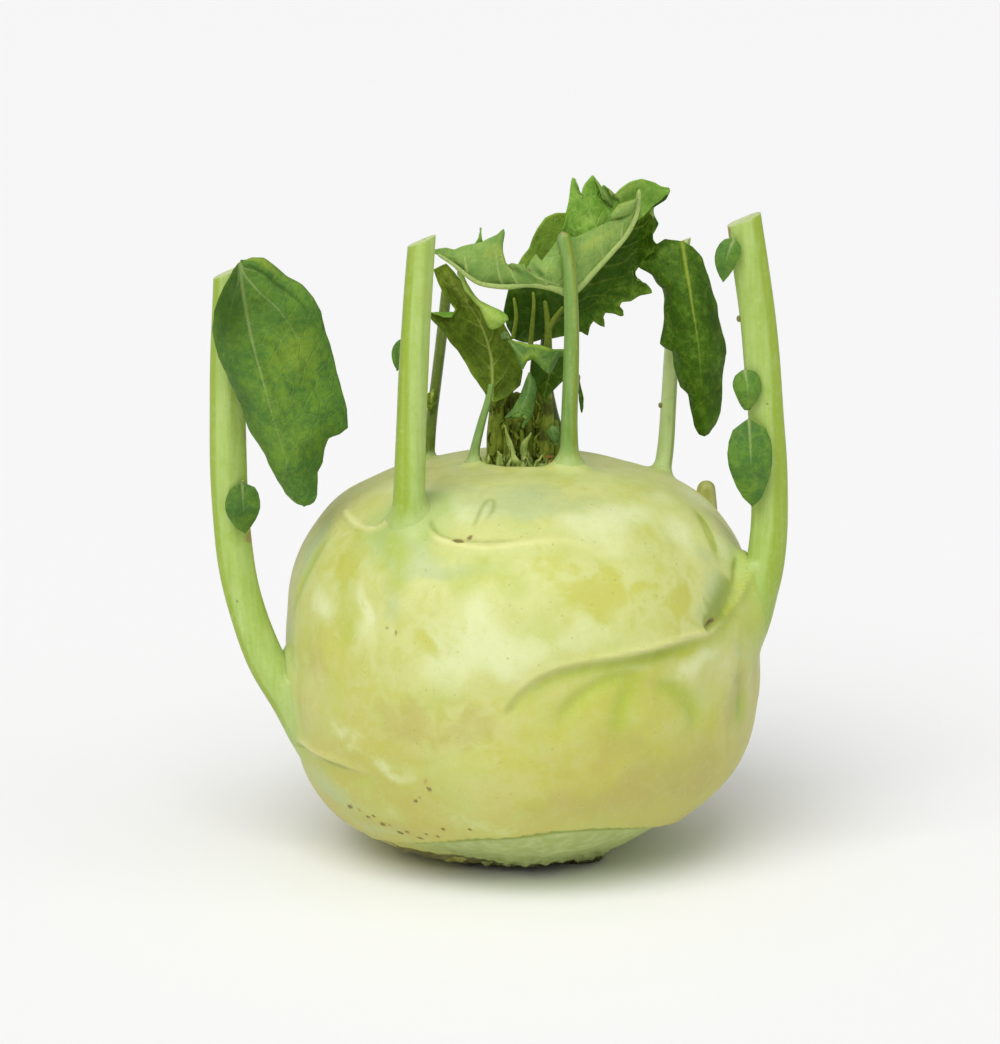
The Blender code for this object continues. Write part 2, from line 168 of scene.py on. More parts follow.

# Stains, bloom, a painted highlight and painted shade on the skin: azimuth, height, half width, half
# height, lean in degrees, strength.
OLIVE = (
    (-70, 64.5, 8.5, 6.5, 10, 1.0), (-78, 68.5, 4.5, 2.5, 20, 0.8), (-47, 63.5, 5, 5.5, 20, 1.0),
    (-58, 65, 4.5, 1.1, 0, 0.8), (-142, 68.5, 6, 4.5, -30, 1.0), (-140, 51, 9, 9, 0, 0.8),
    (-129, 46.5, 7, 5, 0, 0.55), (-114, 55.5, 4.5, 2, -25, 0.8), (-88, 25.7, 6, 4, 0, 0.6),
    (-70, 31, 14, 8, 0, 0.8), (-61, 42.5, 12, 6.5, 0, 1.05), (-55, 33, 12, 8, 0, 0.7),
    (-95, 33, 10, 6, 0, 0.5), (-37, 36, 6, 8, 0, 0.6), (-86, 68.5, 6, 4.5, 0, 0.6),
    (-100, 66.8, 6, 3, -15, 0.45), (-47, 72, 9, 2, -15, 0.4), (-46, 52, 6, 1.4, 5, 0.8),
    (-34, 53.5, 5, 1.6, 10, 0.9), (60, 60, 9, 6, 20, 0.8), (150, 55, 8, 7, 0, 0.8), (95, 40, 10, 6, 0, 0.7),
    (20, 35, 7, 8, 0, 0.7),
)
# Pale waxy bloom; the broad patches over the middle of the front are a painted highlight.
BLOOM_AND_HIGHLIGHT = (
    (-99, 56, 13, 7, -10, 1.0), (-107, 51.5, 8, 6, 0, 0.9), (-118, 64, 5, 8, 0, 0.45),
    (-130, 59.5, 2.2, 7, 12, 0.9), (-149.5, 60, 5, 3.5, 0, 0.8), (-158, 47, 3, 9, 0, 0.5),
    (-131.5, 32.2, 7.5, 3.2, -24, 0.42), (-121, 29.6, 6, 2.6, -10, 0.5), (-77, 56.5, 9, 4, -10, 0.55),
    (-45, 48.3, 9, 2.2, 5, 0.75), (-36, 45, 4, 5, 0, 0.5), (-103, 17, 20, 4, 0, 0.25),
    (-162, 66, 6, 14, 0, 0.25), (-20, 68, 6, 7, 0, 0.6), (-30, 79, 9, 4, 0, 0.4), (-60, 19, 12, 3, 0, 0.2),
    (-62, 77, 12, 6, 0, 0.8), (-36, 73, 7, 7, 0, 0.7), (-118, 79.5, 12, 5, 0, 0.7),
    (-146, 80.8, 10, 5, 0, 0.8), (-5, 75.8, 8, 5, 0, 0.8), (100, 60, 14, 9, 0, 0.9), (30, 62, 9, 8, 0, 0.6),
    (170, 40, 9, 7, 0, 0.6), (60, 24, 14, 5, 0, 0.6),
)
# Bluish-green patches; the patch in the angle of the right stalk is painted shade.
COLD = (
    (-124, 71.5, 9, 4, 0, 0.9), (-111, 71, 9, 3, -10, 0.8), (-123, 63, 2.5, 9, 0, 0.6),
    (-91, 80.9, 20, 7, 0, 0.8), (-104, 82, 12, 4, 0, 0.6), (-33, 60.5, 7, 4.5, 25, 1.0),
    (-24, 66, 6, 5, 0, 0.6), (-28.5, 40, 3, 7, 0, 0.6), (-38, 47, 6, 4, 0, 0.35), (-165, 40, 4, 22, 0, 0.5),
    (-150, 18, 12, 6, 0, 0.7), (-138, 11, 12, 3.5, 0, 0.5), (-166, 68, 5, 8, 0, 0.8),
    (-30, 68, 5, 6, 0, 0.6), (-30, 48, 5, 4, 0, 0.6), (80, 81, 18, 9, 0, 0.7),
)
TAN = (
    (-117, 38.6, 6.5, 4.5, 0, 1.0), (-147, 47, 5, 7, 0, 0.75), (-65, 23, 20, 7, 0, 0.9),
    (-44, 26, 12, 8, 0, 0.9), (-80, 25.5, 10, 5, 0, 0.8), (-71, 31, 12, 6, 0, 0.8),
    (-61.6, 43.2, 10, 5, 0, 0.6), (-106, 38, 11, 5, 0, 0.7), (-50, 34, 8, 6, 0, 0.35),
    (-27, 36, 4.5, 10, 0, 0.8), (-175, 82.5, 10, 2.5, 0, 0.8), (-165, 82.6, 6, 1.5, 0, 0.7),
    (-31, 51, 5, 4, 0, 0.5), (-12, 66, 3, 9, 0, 1.0), (-17, 44, 4, 9, 0, 0.9), (-130, 13, 14, 3, 0, 0.6),
    (40, 20, 14, 6, 0, 0.6), (130, 22, 16, 6, 0, 0.5),
)
SCARS = (
    (-114, 26, 0.8, 1.4, -30, 0.65), (-113.2, 24.3, 0.8, 0.9, -20, 0.8), (-117.8, 21, 0.9, 0.7, 30, 0.8),
    (-116.4, 22, 0.6, 0.8, -30, 0.65), (-123.4, 57.4, 0.7, 0.6, 0, 0.65),
    (-120.8, 56.7, 0.5, 1.2, -20, 0.7), (-142.1, 16.3, 1.6, 0.7, 30, 0.9),
    (-138.6, 16.1, 0.9, 0.6, 20, 0.8), (-136.6, 14.6, 1.2, 0.7, 20, 0.8), (-134, 15.2, 0.8, 0.7, 0, 0.8),
    (-132.3, 13.4, 1.2, 0.8, 20, 0.9), (-129.5, 13.6, 0.8, 0.6, 0, 0.8), (-127.5, 11.8, 1.2, 0.8, 0, 0.9),
    (-124.4, 12.4, 0.9, 0.7, 0, 0.9), (-121, 11.2, 1.1, 0.7, 0, 0.9), (-118, 12.6, 0.8, 0.6, 0, 0.8),
    (-114.6, 12.4, 0.9, 0.6, 0, 0.8), (-111.9, 14.6, 0.8, 0.6, 10, 0.9), (-104, 15.4, 0.8, 0.6, 0, 0.8),
    (-108.9, 74.4, 1.5, 0.7, 0, 1.2), (-106, 75.3, 0.8, 1.2, -20, 0.8), (-38.5, 56.2, 2.6, 0.7, 12, 0.9),
    (60, 15, 1.4, 0.8, 20, 1.0), (75, 13, 1.2, 0.8, 0, 1.0), (140, 18, 1.5, 0.8, -20, 0.9),
    (20, 66, 0.9, 1.2, 0, 0.8),
)

# Fine lines in the skin, as places with a width and a strength: painted shade along folds and in the
# angle of the right stalk, with one olive loop mark of the skin's own among them; brown rims of old rubs;
# and broad green lines where fibres show through.
CREASES = (
    (
        (
            (-122, 79), (-119.6, 76.6), (-114.5, 75.2), (-109.1, 74.9), (-102.3, 74.9), (-94.9, 75.1),
            (-84.6, 75.4),
        ),
        0.65, 0.8,
    ),
    (((-74, 75.2), (-63.9, 73.6), (-55.5, 71.9), (-48, 70.8), (-41, 69.5)), 0.35, 0.6),
    (((-162, 76), (-156.4, 75.6), (-148, 75.3), (-142.4, 75.2), (-137, 75.9), (-132, 76.8)), 0.45, 0.6),
    (((-159, 75.6), (-161.5, 71), (-163.4, 67.3), (-164.4, 63.4), (-166.9, 58.3), (-172, 53)), 0.45, 0.7),
    (((-168.7, 53.3), (-161.7, 50.9), (-162, 46.5), (-164.3, 39.6), (-164, 35.3)), 0.4, 0.7),
    (((-95.6, 39.4), (-93.4, 42.2), (-90, 45.1), (-84.7, 48), (-79, 49.8), (-72, 51)), 0.7, 1.0),
    (((-19.2, 76.3), (-21.5, 73.1), (-25, 69.6), (-26.3, 65.8)), 0.6, 0.85),
    (((-28.6, 46), (-27.2, 39), (-27.3, 31)), 2.5, 0.68),
    (((-23, 63.8), (-28, 61.6), (-34, 59), (-39, 57.4), (-43, 56.8)), 2.7, 0.88),
    (((-31, 58.6), (-35.5, 57.2), (-39.5, 56.4), (-43.5, 56)), 1.3, 1.1),
    (
        (
            (-169, 36), (-167.5, 31), (-163.2, 26.8), (-157, 26.7), (-150, 26.7), (-144.5, 26),
            (-135.9, 25.4), (-128.7, 23.4),
        ),
        0.6, 0.85,
    ),
    (((-56.6, 59.5), (-56.6, 62.8), (-52.6, 64.8), (-48.1, 66.7), (-41.1, 66.9)), 0.4, 0.55),
    (((-84, 16.1), (-81.7, 19.8), (-80.4, 22.5)), 0.3, 0.55),
    (((-120, 20), (-118, 24), (-117, 27)), 0.3, 0.5),
    (((-15, 67.5), (-19.5, 65), (-24.5, 62), (-30, 59), (-35.5, 56.8), (-40.5, 55.4), (-44, 55)), 0.7, 1.0),
    (((70, 70), (84, 66), (98, 67), (112, 70)), 0.4, 0.7),
    (
        (
            (-106.5, 74.9), (-105.9, 76.7), (-105.4, 78.5), (-105, 80.2), (-103.4, 80.9), (-101.2, 80.6),
            (-100.8, 79.6), (-102, 78.4), (-103.9, 77), (-105.2, 75.8),
        ),
        0.7, 0.74,
    ),
)
RIMS = (
    (((-82, 67), (-79.5, 69.8), (-75.6, 71), (-71.3, 71.2), (-68, 69.3), (-63.5, 67.5)), 0.6, 0.6),
    (((-2, 76), (-4, 74), (-5.5, 71.2), (-7, 68.5), (-7.6, 65.3), (-8.4, 62)), 2.1, 0.6),
    (((-5, 52), (-7, 47), (-8, 42), (-10, 37), (-14, 31)), 2.3, 0.55),
)
FIBRES = (
    (((-125.5, 73), (-123, 68.5), (-121.3, 63)), 1.1, 0.8),
    (((-109.5, 65.5), (-103.5, 68.7), (-97.3, 71.8)), 1.3, 0.7),
    (((-128.5, 74.5), (-127.5, 71), (-127, 67)), 0.9, 0.7),
    (((-7, 66), (-14, 62.5), (-22, 59.2), (-30, 56.4), (-37, 54.3), (-43, 53.3)), 2.0, 0.95),
    (((12, 62), (4, 60), (-5, 57.5), (-14, 55), (-24, 53), (-34, 52)), 2.0, 0.95),
    (((-97.3, 71.8), (-93.1, 68.5), (-88.8, 64.5)), 1.1, 0.55),
    (((-140, 66), (-137, 60), (-133, 52)), 1.2, 0.5), (((-112, 40), (-108, 47), (-106, 52)), 1.5, 0.35),
)

# ---------------------------------------------------------------- stalks, crown and leaves

CUT_LEAN = Vector((-0.42, 0.0, 1.0)).normalized()

# Stalks: centre line, radii at the root, middle and tip, height of the knife's cut, reach of the fillet
# at the base, flat sides as bearing (0 faces the front, 90 the right) and share of the radius, and the
# bearing and half width of the side that takes painted shade, which "spreads" widens towards the foot.
# "seat" and "tint" are how much of the seat's green the stalk and the bulb take, and "halo" is how far
# it reaches. "buds" and "dry" are places with their sizes.
STALKS = {
    "stalk_left": {
        "route": (
            (-37, -10, 24.5), (-43.8, -11.5, 28), (-49.0, -12, 36), (-54.2, -12, 45.5), (-58.6, -12, 60),
            (-60.3, -12, 75), (-60.6, -13, 92), (-60, -14, 110), (-58.8, -14, 131),
        ),
        "radii": (4.6, 3.9, 3.9), "cut_at": 126.0, "fillet": 3.8,
        "sides": ((-88, 0.94), (-28, 0.93), (38, 0.92), (100, 0.95), (180, 0.93)), "dark": (-78, 40),
        "dry": (((-56.4, -13.5, 70), 1.0), ((-56.6, -13.5, 92), 1.2), ((-58.5, -16, 127), 2.0)),
    },
    "stalk_front": {
        "route": (
            (-23.2, -21.5, 63), (-23, -27.6, 74), (-22.8, -28.4, 84), (-22.4, -28, 96), (-21.8, -28, 109),
            (-21, -28, 122), (-19.8, -28, 138),
        ),
        "radii": (5.0, 3.4, 2.75), "cut_at": 134.0, "fillet": 4.0, "seat": 1.05, "tint": 1.5, "halo": 4.4,
        "spreads": 0.8, "sides": ((-80, 0.94), (-18, 0.93), (52, 0.94), (110, 0.96), (180, 0.93)),
        "dark": (-58, 34),
    },
    "stalk_right": {
        "route": (
            (39, -10, 46), (46, -12, 51), (49.8, -12, 59.5), (51.4, -12, 70), (51.4, -12, 82),
            (50.4, -13, 96), (48.7, -13.5, 114), (46.8, -14, 127), (44.6, -14, 141),
        ),
        "radii": (4.8, 4.0, 3.7), "cut_at": 136.5, "fillet": 4.6, "seat": 0.35, "tint": 1.0, "spreads": 0.6,
        "sides": ((-90, 0.94), (-32, 0.93), (32, 0.92), (92, 0.95), (180, 0.93)), "dark": (68, 42),
        "buds": (((44.6, -13.6, 116), 0.55),),
        "dry": (((41.6, -14, 134.6), 1.9), ((54.5, -12, 100), 1.4), ((48.5, -13, 45), 3.0)),
    },
    "stalk_middle": {
        "route": (
            (10, -7.5, 78), (10, -8, 86), (10, -8, 94), (10.3, -8, 104), (10.4, -7.5, 114), (9.9, -7, 125),
            (8.5, -6, 133),
        ),
        "radii": (2.5, 1.9, 1.3), "fillet": 5.0, "sides": ((-70, 0.93), (0, 0.95), (70, 0.93), (180, 0.95)),
        "dark": (48, 26), "dry": (((8.6, -6.5, 133.0), 0.7),), "finish": "stalk_skin_bluish",
    },
    "stalk_inner_left": {
        "route": ((-10.8, -4, 79), (-9.8, -4, 86), (-8.4, -4.2, 92), (-7.0, -4.5, 97), (-6.3, -4.6, 101)),
        "radii": (1.6, 1.2, 0.6), "fillet": 3.0, "dark": (90, 30), "finish": "stalk_skin_bluish",
    },
    "stalk_back_left": {
        "route": ((-20, 17, 76), (-19.2, 18, 88), (-18, 17.5, 98), (-16.9, 17, 107), (-15.7, 16, 118)),
        "radii": (1.3, 1.2, 1.1), "fillet": 1.6, "dark": (0, 120), "buds": (((-18.9, 16.6, 93.5), 1.0),),
        "finish": "stalk_skin_olive",
    },
    "stalk_back_right": {
        "route": (
            (29.5, 17, 72), (31.2, 20, 82), (31.8, 20, 92), (32.4, 20, 104), (33.3, 20, 116),
            (35.2, 20, 131),
        ),
        "radii": (2.1, 1.8, 1.35), "cut_at": 127.5, "fillet": 2.6,
        "sides": ((-75, 0.94), (-10, 0.94), (60, 0.94), (180, 0.95)), "dark": (72, 36),
        "buds": (((30.1, 19.6, 92), 0.5),), "dry": (((31, 18, 76), 1.5),), "finish": "stalk_skin_pale",
    },
    "stub_back_right": {
        "route": ((38, 15, 62), (40.2, 16.6, 68), (40.2, 17, 72), (39.7, 17, 76)), "radii": (2.2, 2.1, 1.9),
        "fillet": 1.5, "sides": ((-70, 0.96), (0, 0.96), (70, 0.96), (180, 0.96)), "dark": (80, 30),
        "finish": "stalk_skin_yellow",
    },
    "stalk_of_back_leaf": {
        "route": (
            (8.7, 4.5, 79), (8.2, 5.2, 87), (6.6, 6.2, 93), (5.3, 7.4, 100), (5.2, 8, 106), (5.6, 8, 110),
        ),
        "radii": (1.9, 1.3, 1.1), "fillet": 3.0, "dark": (0, 140), "finish": "stalk_skin_dark",
    },
}

# Young stems and bud scales of the crown: the centre line and the radii at its root, middle and tip.
CROWN = {
    "young_stem_left": (((-4.8, 2, 79), (-5.2, 1.6, 88), (-5.0, 1.6, 99)), (2.3, 2.0, 1.1)),
    "young_stem_centre": (((-1.2, 4, 79), (-0.9, 3, 88), (-0.9, 2.6, 98)), (2.5, 2.2, 1.2)),
    "young_stem_right": (((4.2, 1.8, 79), (5.0, 2, 88), (5.2, 2, 99)), (2.4, 2.1, 1.2)),
    "bud_scale_1": (((-6.4, -4.2, 80), (-7.4, -5.4, 83.6), (-7.0, -6, 86)), (1.0, 0.7, 0.4)),
    "bud_scale_2": (((-3.9, -5.6, 80), (-3.0, -6.8, 84), (-1.2, -6.6, 87)), (0.9, 0.7, 0.4)),
    "bud_scale_3": (((-0.8, -6.2, 80), (-1.1, -7.2, 84.4), (-2.4, -7, 88.2)), (0.9, 0.7, 0.4)),
    "bud_scale_4": (((2.0, -6.4, 80), (3.4, -7.2, 83), (5.4, -7, 84.4)), (1.0, 0.8, 0.4)),
    "bud_scale_5": (((5.4, -4.6, 80), (6.8, -5.2, 83), (8.6, -4.6, 84.2)), (0.9, 0.7, 0.4)),
    "bud_scale_6": (((-3.6, -3.0, 81), (-2.4, -3.6, 87), (-3.8, -4.0, 92)), (0.9, 0.8, 0.4)),
    "bud_scale_7": (((1.8, -3.0, 81), (0.6, -3.6, 86), (2.0, -3.9, 90.5)), (0.9, 0.7, 0.4)),
}
# Thinner stems that fill the gaps between the young ones: which it grows with, centre line, radii, rust.
THIN_STEMS = (
    ("young_stem_left", ((-3.2, 0.6, 79), (-3.0, 0.4, 86), (-3.3, 0.6, 93)), (1.0, 0.9, 0.5), 0.0),
    ("young_stem_left", ((-3.4, 4.6, 84), (-3.4, 4.6, 94), (-2.2, 4.8, 106)), (1.7, 1.7, 1.1), 0.0),
    ("young_stem_right", ((2.6, 4.4, 84), (2.7, 4.4, 94), (3.2, 4.6, 106)), (1.5, 1.5, 1.0), 0.0),
    ("young_stem_centre", ((1.8, 2.6, 79), (2.0, 2.8, 87), (1.7, 2.6, 96)), (1.4, 1.2, 0.8), 0.0),
    ("young_stem_centre", ((0.4, -0.2, 79), (0.6, -0.4, 85), (0.1, 0.0, 90.5)), (0.9, 0.7, 0.4), 0.0),
    ("young_stem_right", ((7.2, 2.6, 79), (7.6, 2.8, 85), (7.2, 3.0, 92)), (1.2, 1.0, 0.6), 0.0),
    ("young_stem_right", ((2.6, -1.6, 82.6), (5.2, -1.2, 83.3), (8.6, 0.4, 84.2)), (0.4, 0.6, 0.35), 1.0),
    ("young_stem_right", ((4.2, -0.8, 84.6), (6.6, -0.4, 84.4), (9.2, 0.8, 83.2)), (0.3, 0.45, 0.3), 1.0),
)
RUST = (0.27, 0.15, 0.03)
YOUNG_DRYNESS = {"young_stem_left": 0.15, "young_stem_centre": 0.7, "young_stem_right": 0.6}
SCALE_COLOURS = ((0.42, 0.52, 0.14), (0.22, 0.33, 0.05), (0.11, 0.14, 0.014))
STEM_COLOURS = ((0.29, 0.35, 0.035), (0.15, 0.22, 0.014), (0.065, 0.080, 0.004))

# Leaves as lobes. A lobe lies between a left and a right margin, both from its base to its tip, with
# its rib between them: all three as x and z. "depth" gives y, read along x or z; "arch" lifts the
# middle forwards. Veins are counted along the rib. Marks are places on the lobe, from base 0 to tip 1
# and from the left margin -1 to the right margin 1, with their two half sizes and a strength. Long
# veins and folds are lines of such places; "lean" is the slope of the veins and "faint" their strength.
# The "shade" marks and the folds are painted shade. The "yellow" marks are yellower parts, and some of
# them, such as those on the inner fold and the upper left of the back leaf, are painted light.
# A "turned" lobe shows its underside.
LOBES = {
    "left": {
        "left": (
            (-57.4, 128.6), (-58.5, 127.2), (-59.7, 125), (-61.2, 121.8), (-62.2, 119), (-62.6, 115.6),
            (-62.2, 112.4), (-61.6, 109.5), (-60, 106.4), (-58.4, 102.4), (-57, 97.8), (-56, 94.6),
            (-54, 91), (-52.2, 86.8), (-50.2, 83), (-48.7, 80.4), (-47.4, 79.1), (-46.2, 78.4), (-45, 78.0),
        ),
        "rib": (
            (-57, 128.8), (-56, 121.5), (-54.5, 113.5), (-52.5, 105.5), (-50.5, 97.5), (-48, 88.5),
            (-45, 78.4),
        ),
        "right": (
            (-56.8, 129), (-54.6, 129.8), (-52.2, 129.6), (-49.8, 127.6), (-47.5, 125.6), (-44.5, 123.6),
            (-42.4, 121.2), (-40.6, 118.2), (-39.8, 113.8), (-38.2, 109), (-37, 103.4), (-35.6, 98),
            (-35.5, 93.9), (-37.2, 92.5), (-39.3, 91.6), (-40.4, 89.6), (-40.9, 86.8), (-42, 84.9),
            (-42.1, 82), (-42.2, 80.2), (-42.7, 78.9), (-43.6, 78.2), (-44.8, 78.0),
        ),
        "depth": ("x", (-62, -22.5), (-36, -17.5)), "arch": 5.0, "ruffle": (0.5, 3.0), "veins": 6,
        "lean": 0.42, "rib_ends": 0.85, "faint": 0.6,
        "long_veins": (
            ((0.0, 0.05), (0.1, 0.28), (0.2, 0.46), (0.36, 0.6), (0.5, 0.66), (0.66, 0.66)),
            ((0.0, 0.05), (0.05, 0.4), (0.1, 0.66), (0.2, 0.8)),
            ((0.0, -0.05), (0.12, -0.4), (0.26, -0.62), (0.4, -0.7)),
        ),
        "folds": (
            (((0.02, 0.3), (0.06, 0.58), (0.12, 0.72), (0.2, 0.78), (0.3, 0.84), (0.4, 0.92)), 0.42, 0.7),
            (((0.16, 0.15), (0.2, 0.34), (0.24, 0.4)), 0.8, 0.6),
            (((0.3, 0.05), (0.36, 0.3), (0.48, 0.4)), 0.7, 0.35),
            (((0.3, -0.1), (0.42, 0.08), (0.6, 0.1)), 0.7, 0.3),
        ),
        "yellow": (
            (0.42, 0.55, 0.14, 0.4, 0.75), (0.55, 0.1, 0.2, 0.5, 0.45), (0.08, 0.9, 0.1, 0.12, 1.1),
            (0.75, 0.5, 0.2, 0.5, 0.45), (0.86, 0.3, 0.14, 0.6, 0.45),
        ),
        "shade": (
            (0.13, -0.55, 0.19, 0.7, 1.2), (0.2, 0.3, 0.07, 0.3, 0.55), (0.3, 0.55, 0.04, 0.3, 0.35),
            (0.06, 0.35, 0.05, 0.3, 0.5), (0.5, -0.8, 0.3, 0.25, 0.35), (0.11, 0.14, 0.06, 0.22, 0.5),
        ),
    },
    "back_right": {
        "left": (
            (33.9, 128), (30.6, 128.6), (27.6, 126.8), (25.6, 123.8), (25, 122.6), (27.8, 120.7),
            (28.8, 119.2), (29.9, 118), (30.4, 115.6), (30.4, 112), (29.8, 108.9), (29.4, 106.4),
            (30.4, 105.5), (32.2, 105.1), (33, 101.2), (33.8, 97.3), (35.2, 95.6), (36, 92.3), (36.8, 89.2),
            (38, 87.1), (39, 86.7),
        ),
        "rib": (
            (34.1, 127.8), (34.7, 124.2), (35.5, 119.4), (36.3, 114.3), (37.2, 109), (37.8, 103.8),
            (38.3, 97.4), (38.8, 92), (39.2, 86.8),
        ),
        "right": (
            (34.3, 128), (36.4, 126.8), (38.5, 124.5), (40.2, 120.7), (41.7, 115.2), (43, 108.7),
            (43.8, 104.6), (43.2, 101.6), (43, 97), (42.5, 92.2), (41.4, 89.1), (40.2, 87.2), (39.4, 86.7),
        ),
        "depth": ("z", (87, 11.5), (97, 11.5), (115, 13.6), (128, 16)), "arch": 4.5, "ruffle": (0.35, 2.5),
        "veins": 7, "lean": 0.3, "rib_ends": 0.75, "faint": 0.35,
        "shade": ((0.42, 0.72, 0.09, 0.3, 0.9), (0.25, 0.5, 0.12, 0.3, 0.3)),
        "yellow": ((0.12, -0.6, 0.12, 0.4, 0.35), (0.55, -0.2, 0.1, 0.3, 0.2), (0.8, 0.0, 0.1, 0.4, 0.25)),
    },
    "middle": {
        "left": (
            (-18.1, 130.1), (-15.2, 130.5), (-13.8, 130.1), (-12.2, 130.7), (-9.9, 131), (-7.7, 131.4),
            (-6.5, 132), (-5, 132.8), (-3.8, 134), (-4, 131.2), (-4.2, 128.7), (-3.9, 127), (-3, 126.4),
            (-1.9, 126.8), (-0.5, 126.5), (1, 126.6), (0.6, 124.9), (1.9, 127), (3.1, 128.6), (4.2, 126.9),
            (5.2, 128.2), (6.4, 129.6), (7.4, 131), (9.2, 131.8), (11.3, 131.6), (13.4, 132.3),
            (15.7, 133.1), (18.3, 134.1), (21, 134.4), (22.7, 135.4), (24, 137.5), (24.4, 138.9),
        ),
        "right": (
            (-17.9, 129.9), (-16.5, 128.6), (-14.2, 127.3), (-12.2, 125.9), (-10.4, 123.8), (-7.7, 122.4),
            (-5, 121.8), (-3, 121.8), (1.2, 122.1), (5.3, 121.5), (8, 120.4), (9.9, 120.1), (12, 120.5),
            (15.1, 123.5), (18.7, 127.2), (21.7, 130.3), (23.6, 133.5), (24.3, 136.4), (24.4, 138.9),
        ),
        "depth": ("x", (-18, -13), (-4, -9), (10, -4.2), (17, 0.6), (24.5, 5)), "arch": 1.5,
        "ruffle": (0.5, 5.0),
        "long_veins": (
            ((0.56, 0.95), (0.5, 0.3), (0.46, -0.2), (0.43, -0.8)),
            ((0.58, 0.95), (0.61, 0.2), (0.66, -0.3), (0.7, -0.85)),
            ((0.3, 0.9), (0.27, 0.2), (0.25, -0.4), (0.24, -0.85)),
            ((0.36, 0.9), (0.36, 0.2), (0.37, -0.7)), ((0.72, 0.9), (0.75, 0.3), (0.8, -0.6)),
            ((0.82, 0.9), (0.86, 0.2), (0.9, -0.6)), ((0.15, 0.8), (0.13, 0.1), (0.12, -0.7)),
            ((0.47, 0.9), (0.49, 0.3), (0.53, -0.3), (0.58, -0.7)),
        ),
        "yellow": ((0.28, -0.3, 0.1, 0.5, 0.7), (0.75, -0.2, 0.12, 0.4, 0.6)),
        "shade": (
            (0.37, -0.7, 0.035, 0.35, 1.2), (0.44, -0.1, 0.02, 0.7, 0.6), (0.33, -0.6, 0.02, 0.3, 0.8),
            (0.41, -0.45, 0.02, 0.5, 0.9), (0.5, -0.3, 0.014, 0.5, 0.9), (0.2, 0.8, 0.2, 0.2, 0.5),
        ),
        "brown": ((0.47, -0.75, 0.02, 0.3, 0.8), (0.385, -0.55, 0.014, 0.4, 0.9)),
    },
    "middle_crest": {
        "left": (
            (8, 130.7), (9, 134.4), (9.7, 138.2), (10.2, 141.5), (10.7, 144), (11.5, 141.3), (12.4, 139.6),
            (13.4, 142), (14.9, 144), (15.7, 141.4), (16.4, 138.6), (17, 140.2), (17.5, 142), (18.3, 139.3),
            (19.3, 138.9), (21, 140.4), (23.1, 141.6), (25.5, 142.2), (28, 141.5), (29.7, 140.5),
            (31, 139.9),
        ),
        "right": (
            (8.2, 130.1), (10.5, 130.6), (13.3, 131.2), (16.4, 132.2), (18.9, 133), (21.7, 133),
            (23.6, 133), (25.9, 134.7), (27.4, 136.1), (29.6, 137.4), (31, 139.6),
        ),
        "depth": ("x", (8, -2.3), (12.5, -0.6), (18, 3), (25, 6.5), (31, 10)), "arch": -0.5,
        "ruffle": (0.4, 4.0),
        "long_veins": (
            ((0.12, 0.9), (0.14, 0.0), (0.16, -0.9)), ((0.3, 0.9), (0.32, 0.0), (0.34, -0.9)),
            ((0.46, 0.9), (0.46, 0.0), (0.47, -0.9)), ((0.6, 0.9), (0.64, 0.0), (0.68, -0.8)),
            ((0.72, 0.9), (0.78, 0.0), (0.84, -0.8)),
        ),
        "turned": True, "yellow": ((0.7, -0.8, 0.2, 0.3, 0.8), (0.3, 0.5, 0.2, 0.5, 0.5)),
        "shade": ((0.86, 0.5, 0.12, 0.5, 0.5), (0.52, 0.8, 0.1, 0.3, 0.5), (0.75, -0.25, 0.1, 0.5, 0.4)),
    },
    "middle_flap": {
        "left": ((18.5, 135), (20.3, 137.4), (22.9, 138.2), (24.2, 138.6)),
        "right": ((18.5, 134.8), (20.8, 134.9), (23.1, 135.4), (24.3, 138.4)),
        "depth": ("x", (18, 0.9), (24.5, 3.8)), "arch": 0.8, "ruffle": (0.1, 1.0),
        "yellow": ((0.5, -0.8, 0.5, 0.5, 0.8),),
    },
    "middle_spur": {
        "left": ((-10, 130.5), (-9, 132.1), (-8.4, 134.2)),
        "right": ((-7.6, 130.5), (-8, 132.1), (-8.3, 134.2)), "depth": ("x", (-10, -9.6), (-7, -9.6)),
        "arch": 0.3, "ruffle": (0.0, 1.0), "turned": True,
    },
    "back": {
        "left": (
            (5.1, 109.2), (1.5, 108), (-1.5, 108.8), (-2.9, 111.1), (-3.6, 114.3), (-2.9, 117.7),
            (-2.3, 121.1), (-1, 123.7), (0.2, 125.8), (1.7, 127.7), (2.5, 130), (3.5, 132.3), (5.2, 134.2),
            (7.3, 135.2), (9.4, 135.1), (13.4, 136.3), (17.9, 137.6), (23, 138.5), (27.2, 139.9),
            (30.9, 139.8),
        ),
        "rib": (
            (5.3, 109.2), (8.2, 113.6), (11.4, 117), (15, 120.7), (18.8, 124.6), (22.7, 128.8), (25.2, 132),
            (27.3, 135.6), (29.3, 138.2), (30.9, 139.4),
        ),
        "right": (
            (5.7, 109), (9.5, 109), (12.5, 109.7), (14.2, 108.6), (14.6, 110.7), (15.5, 111.9), (16.8, 111),
            (17.9, 110.2), (17.4, 112.3), (18.1, 113.5), (19.6, 113.2), (22.3, 111.9), (20.8, 114),
            (21.5, 115.2), (23.4, 115.3), (25.4, 116.6), (27.8, 117.4), (26.4, 119.1), (24.7, 119.5),
            (24.2, 121.2), (25.3, 122.9), (26.9, 125), (29.2, 127.2), (28.1, 128.5), (27.9, 129.8),
            (29.1, 132), (28.7, 132.8), (27.3, 134), (27.5, 135.5), (28.7, 136.4), (30.1, 137.4),
            (31.1, 139.4),
        ),
        "depth": ("x", (-4, 6), (5, 6.2), (12, 8), (17, 12), (25, 15.5), (31, 11.3)), "arch": -2.0,
        "ruffle": (0.6, 4.0), "veins": 7, "lean": 0.45,
        "yellow": (
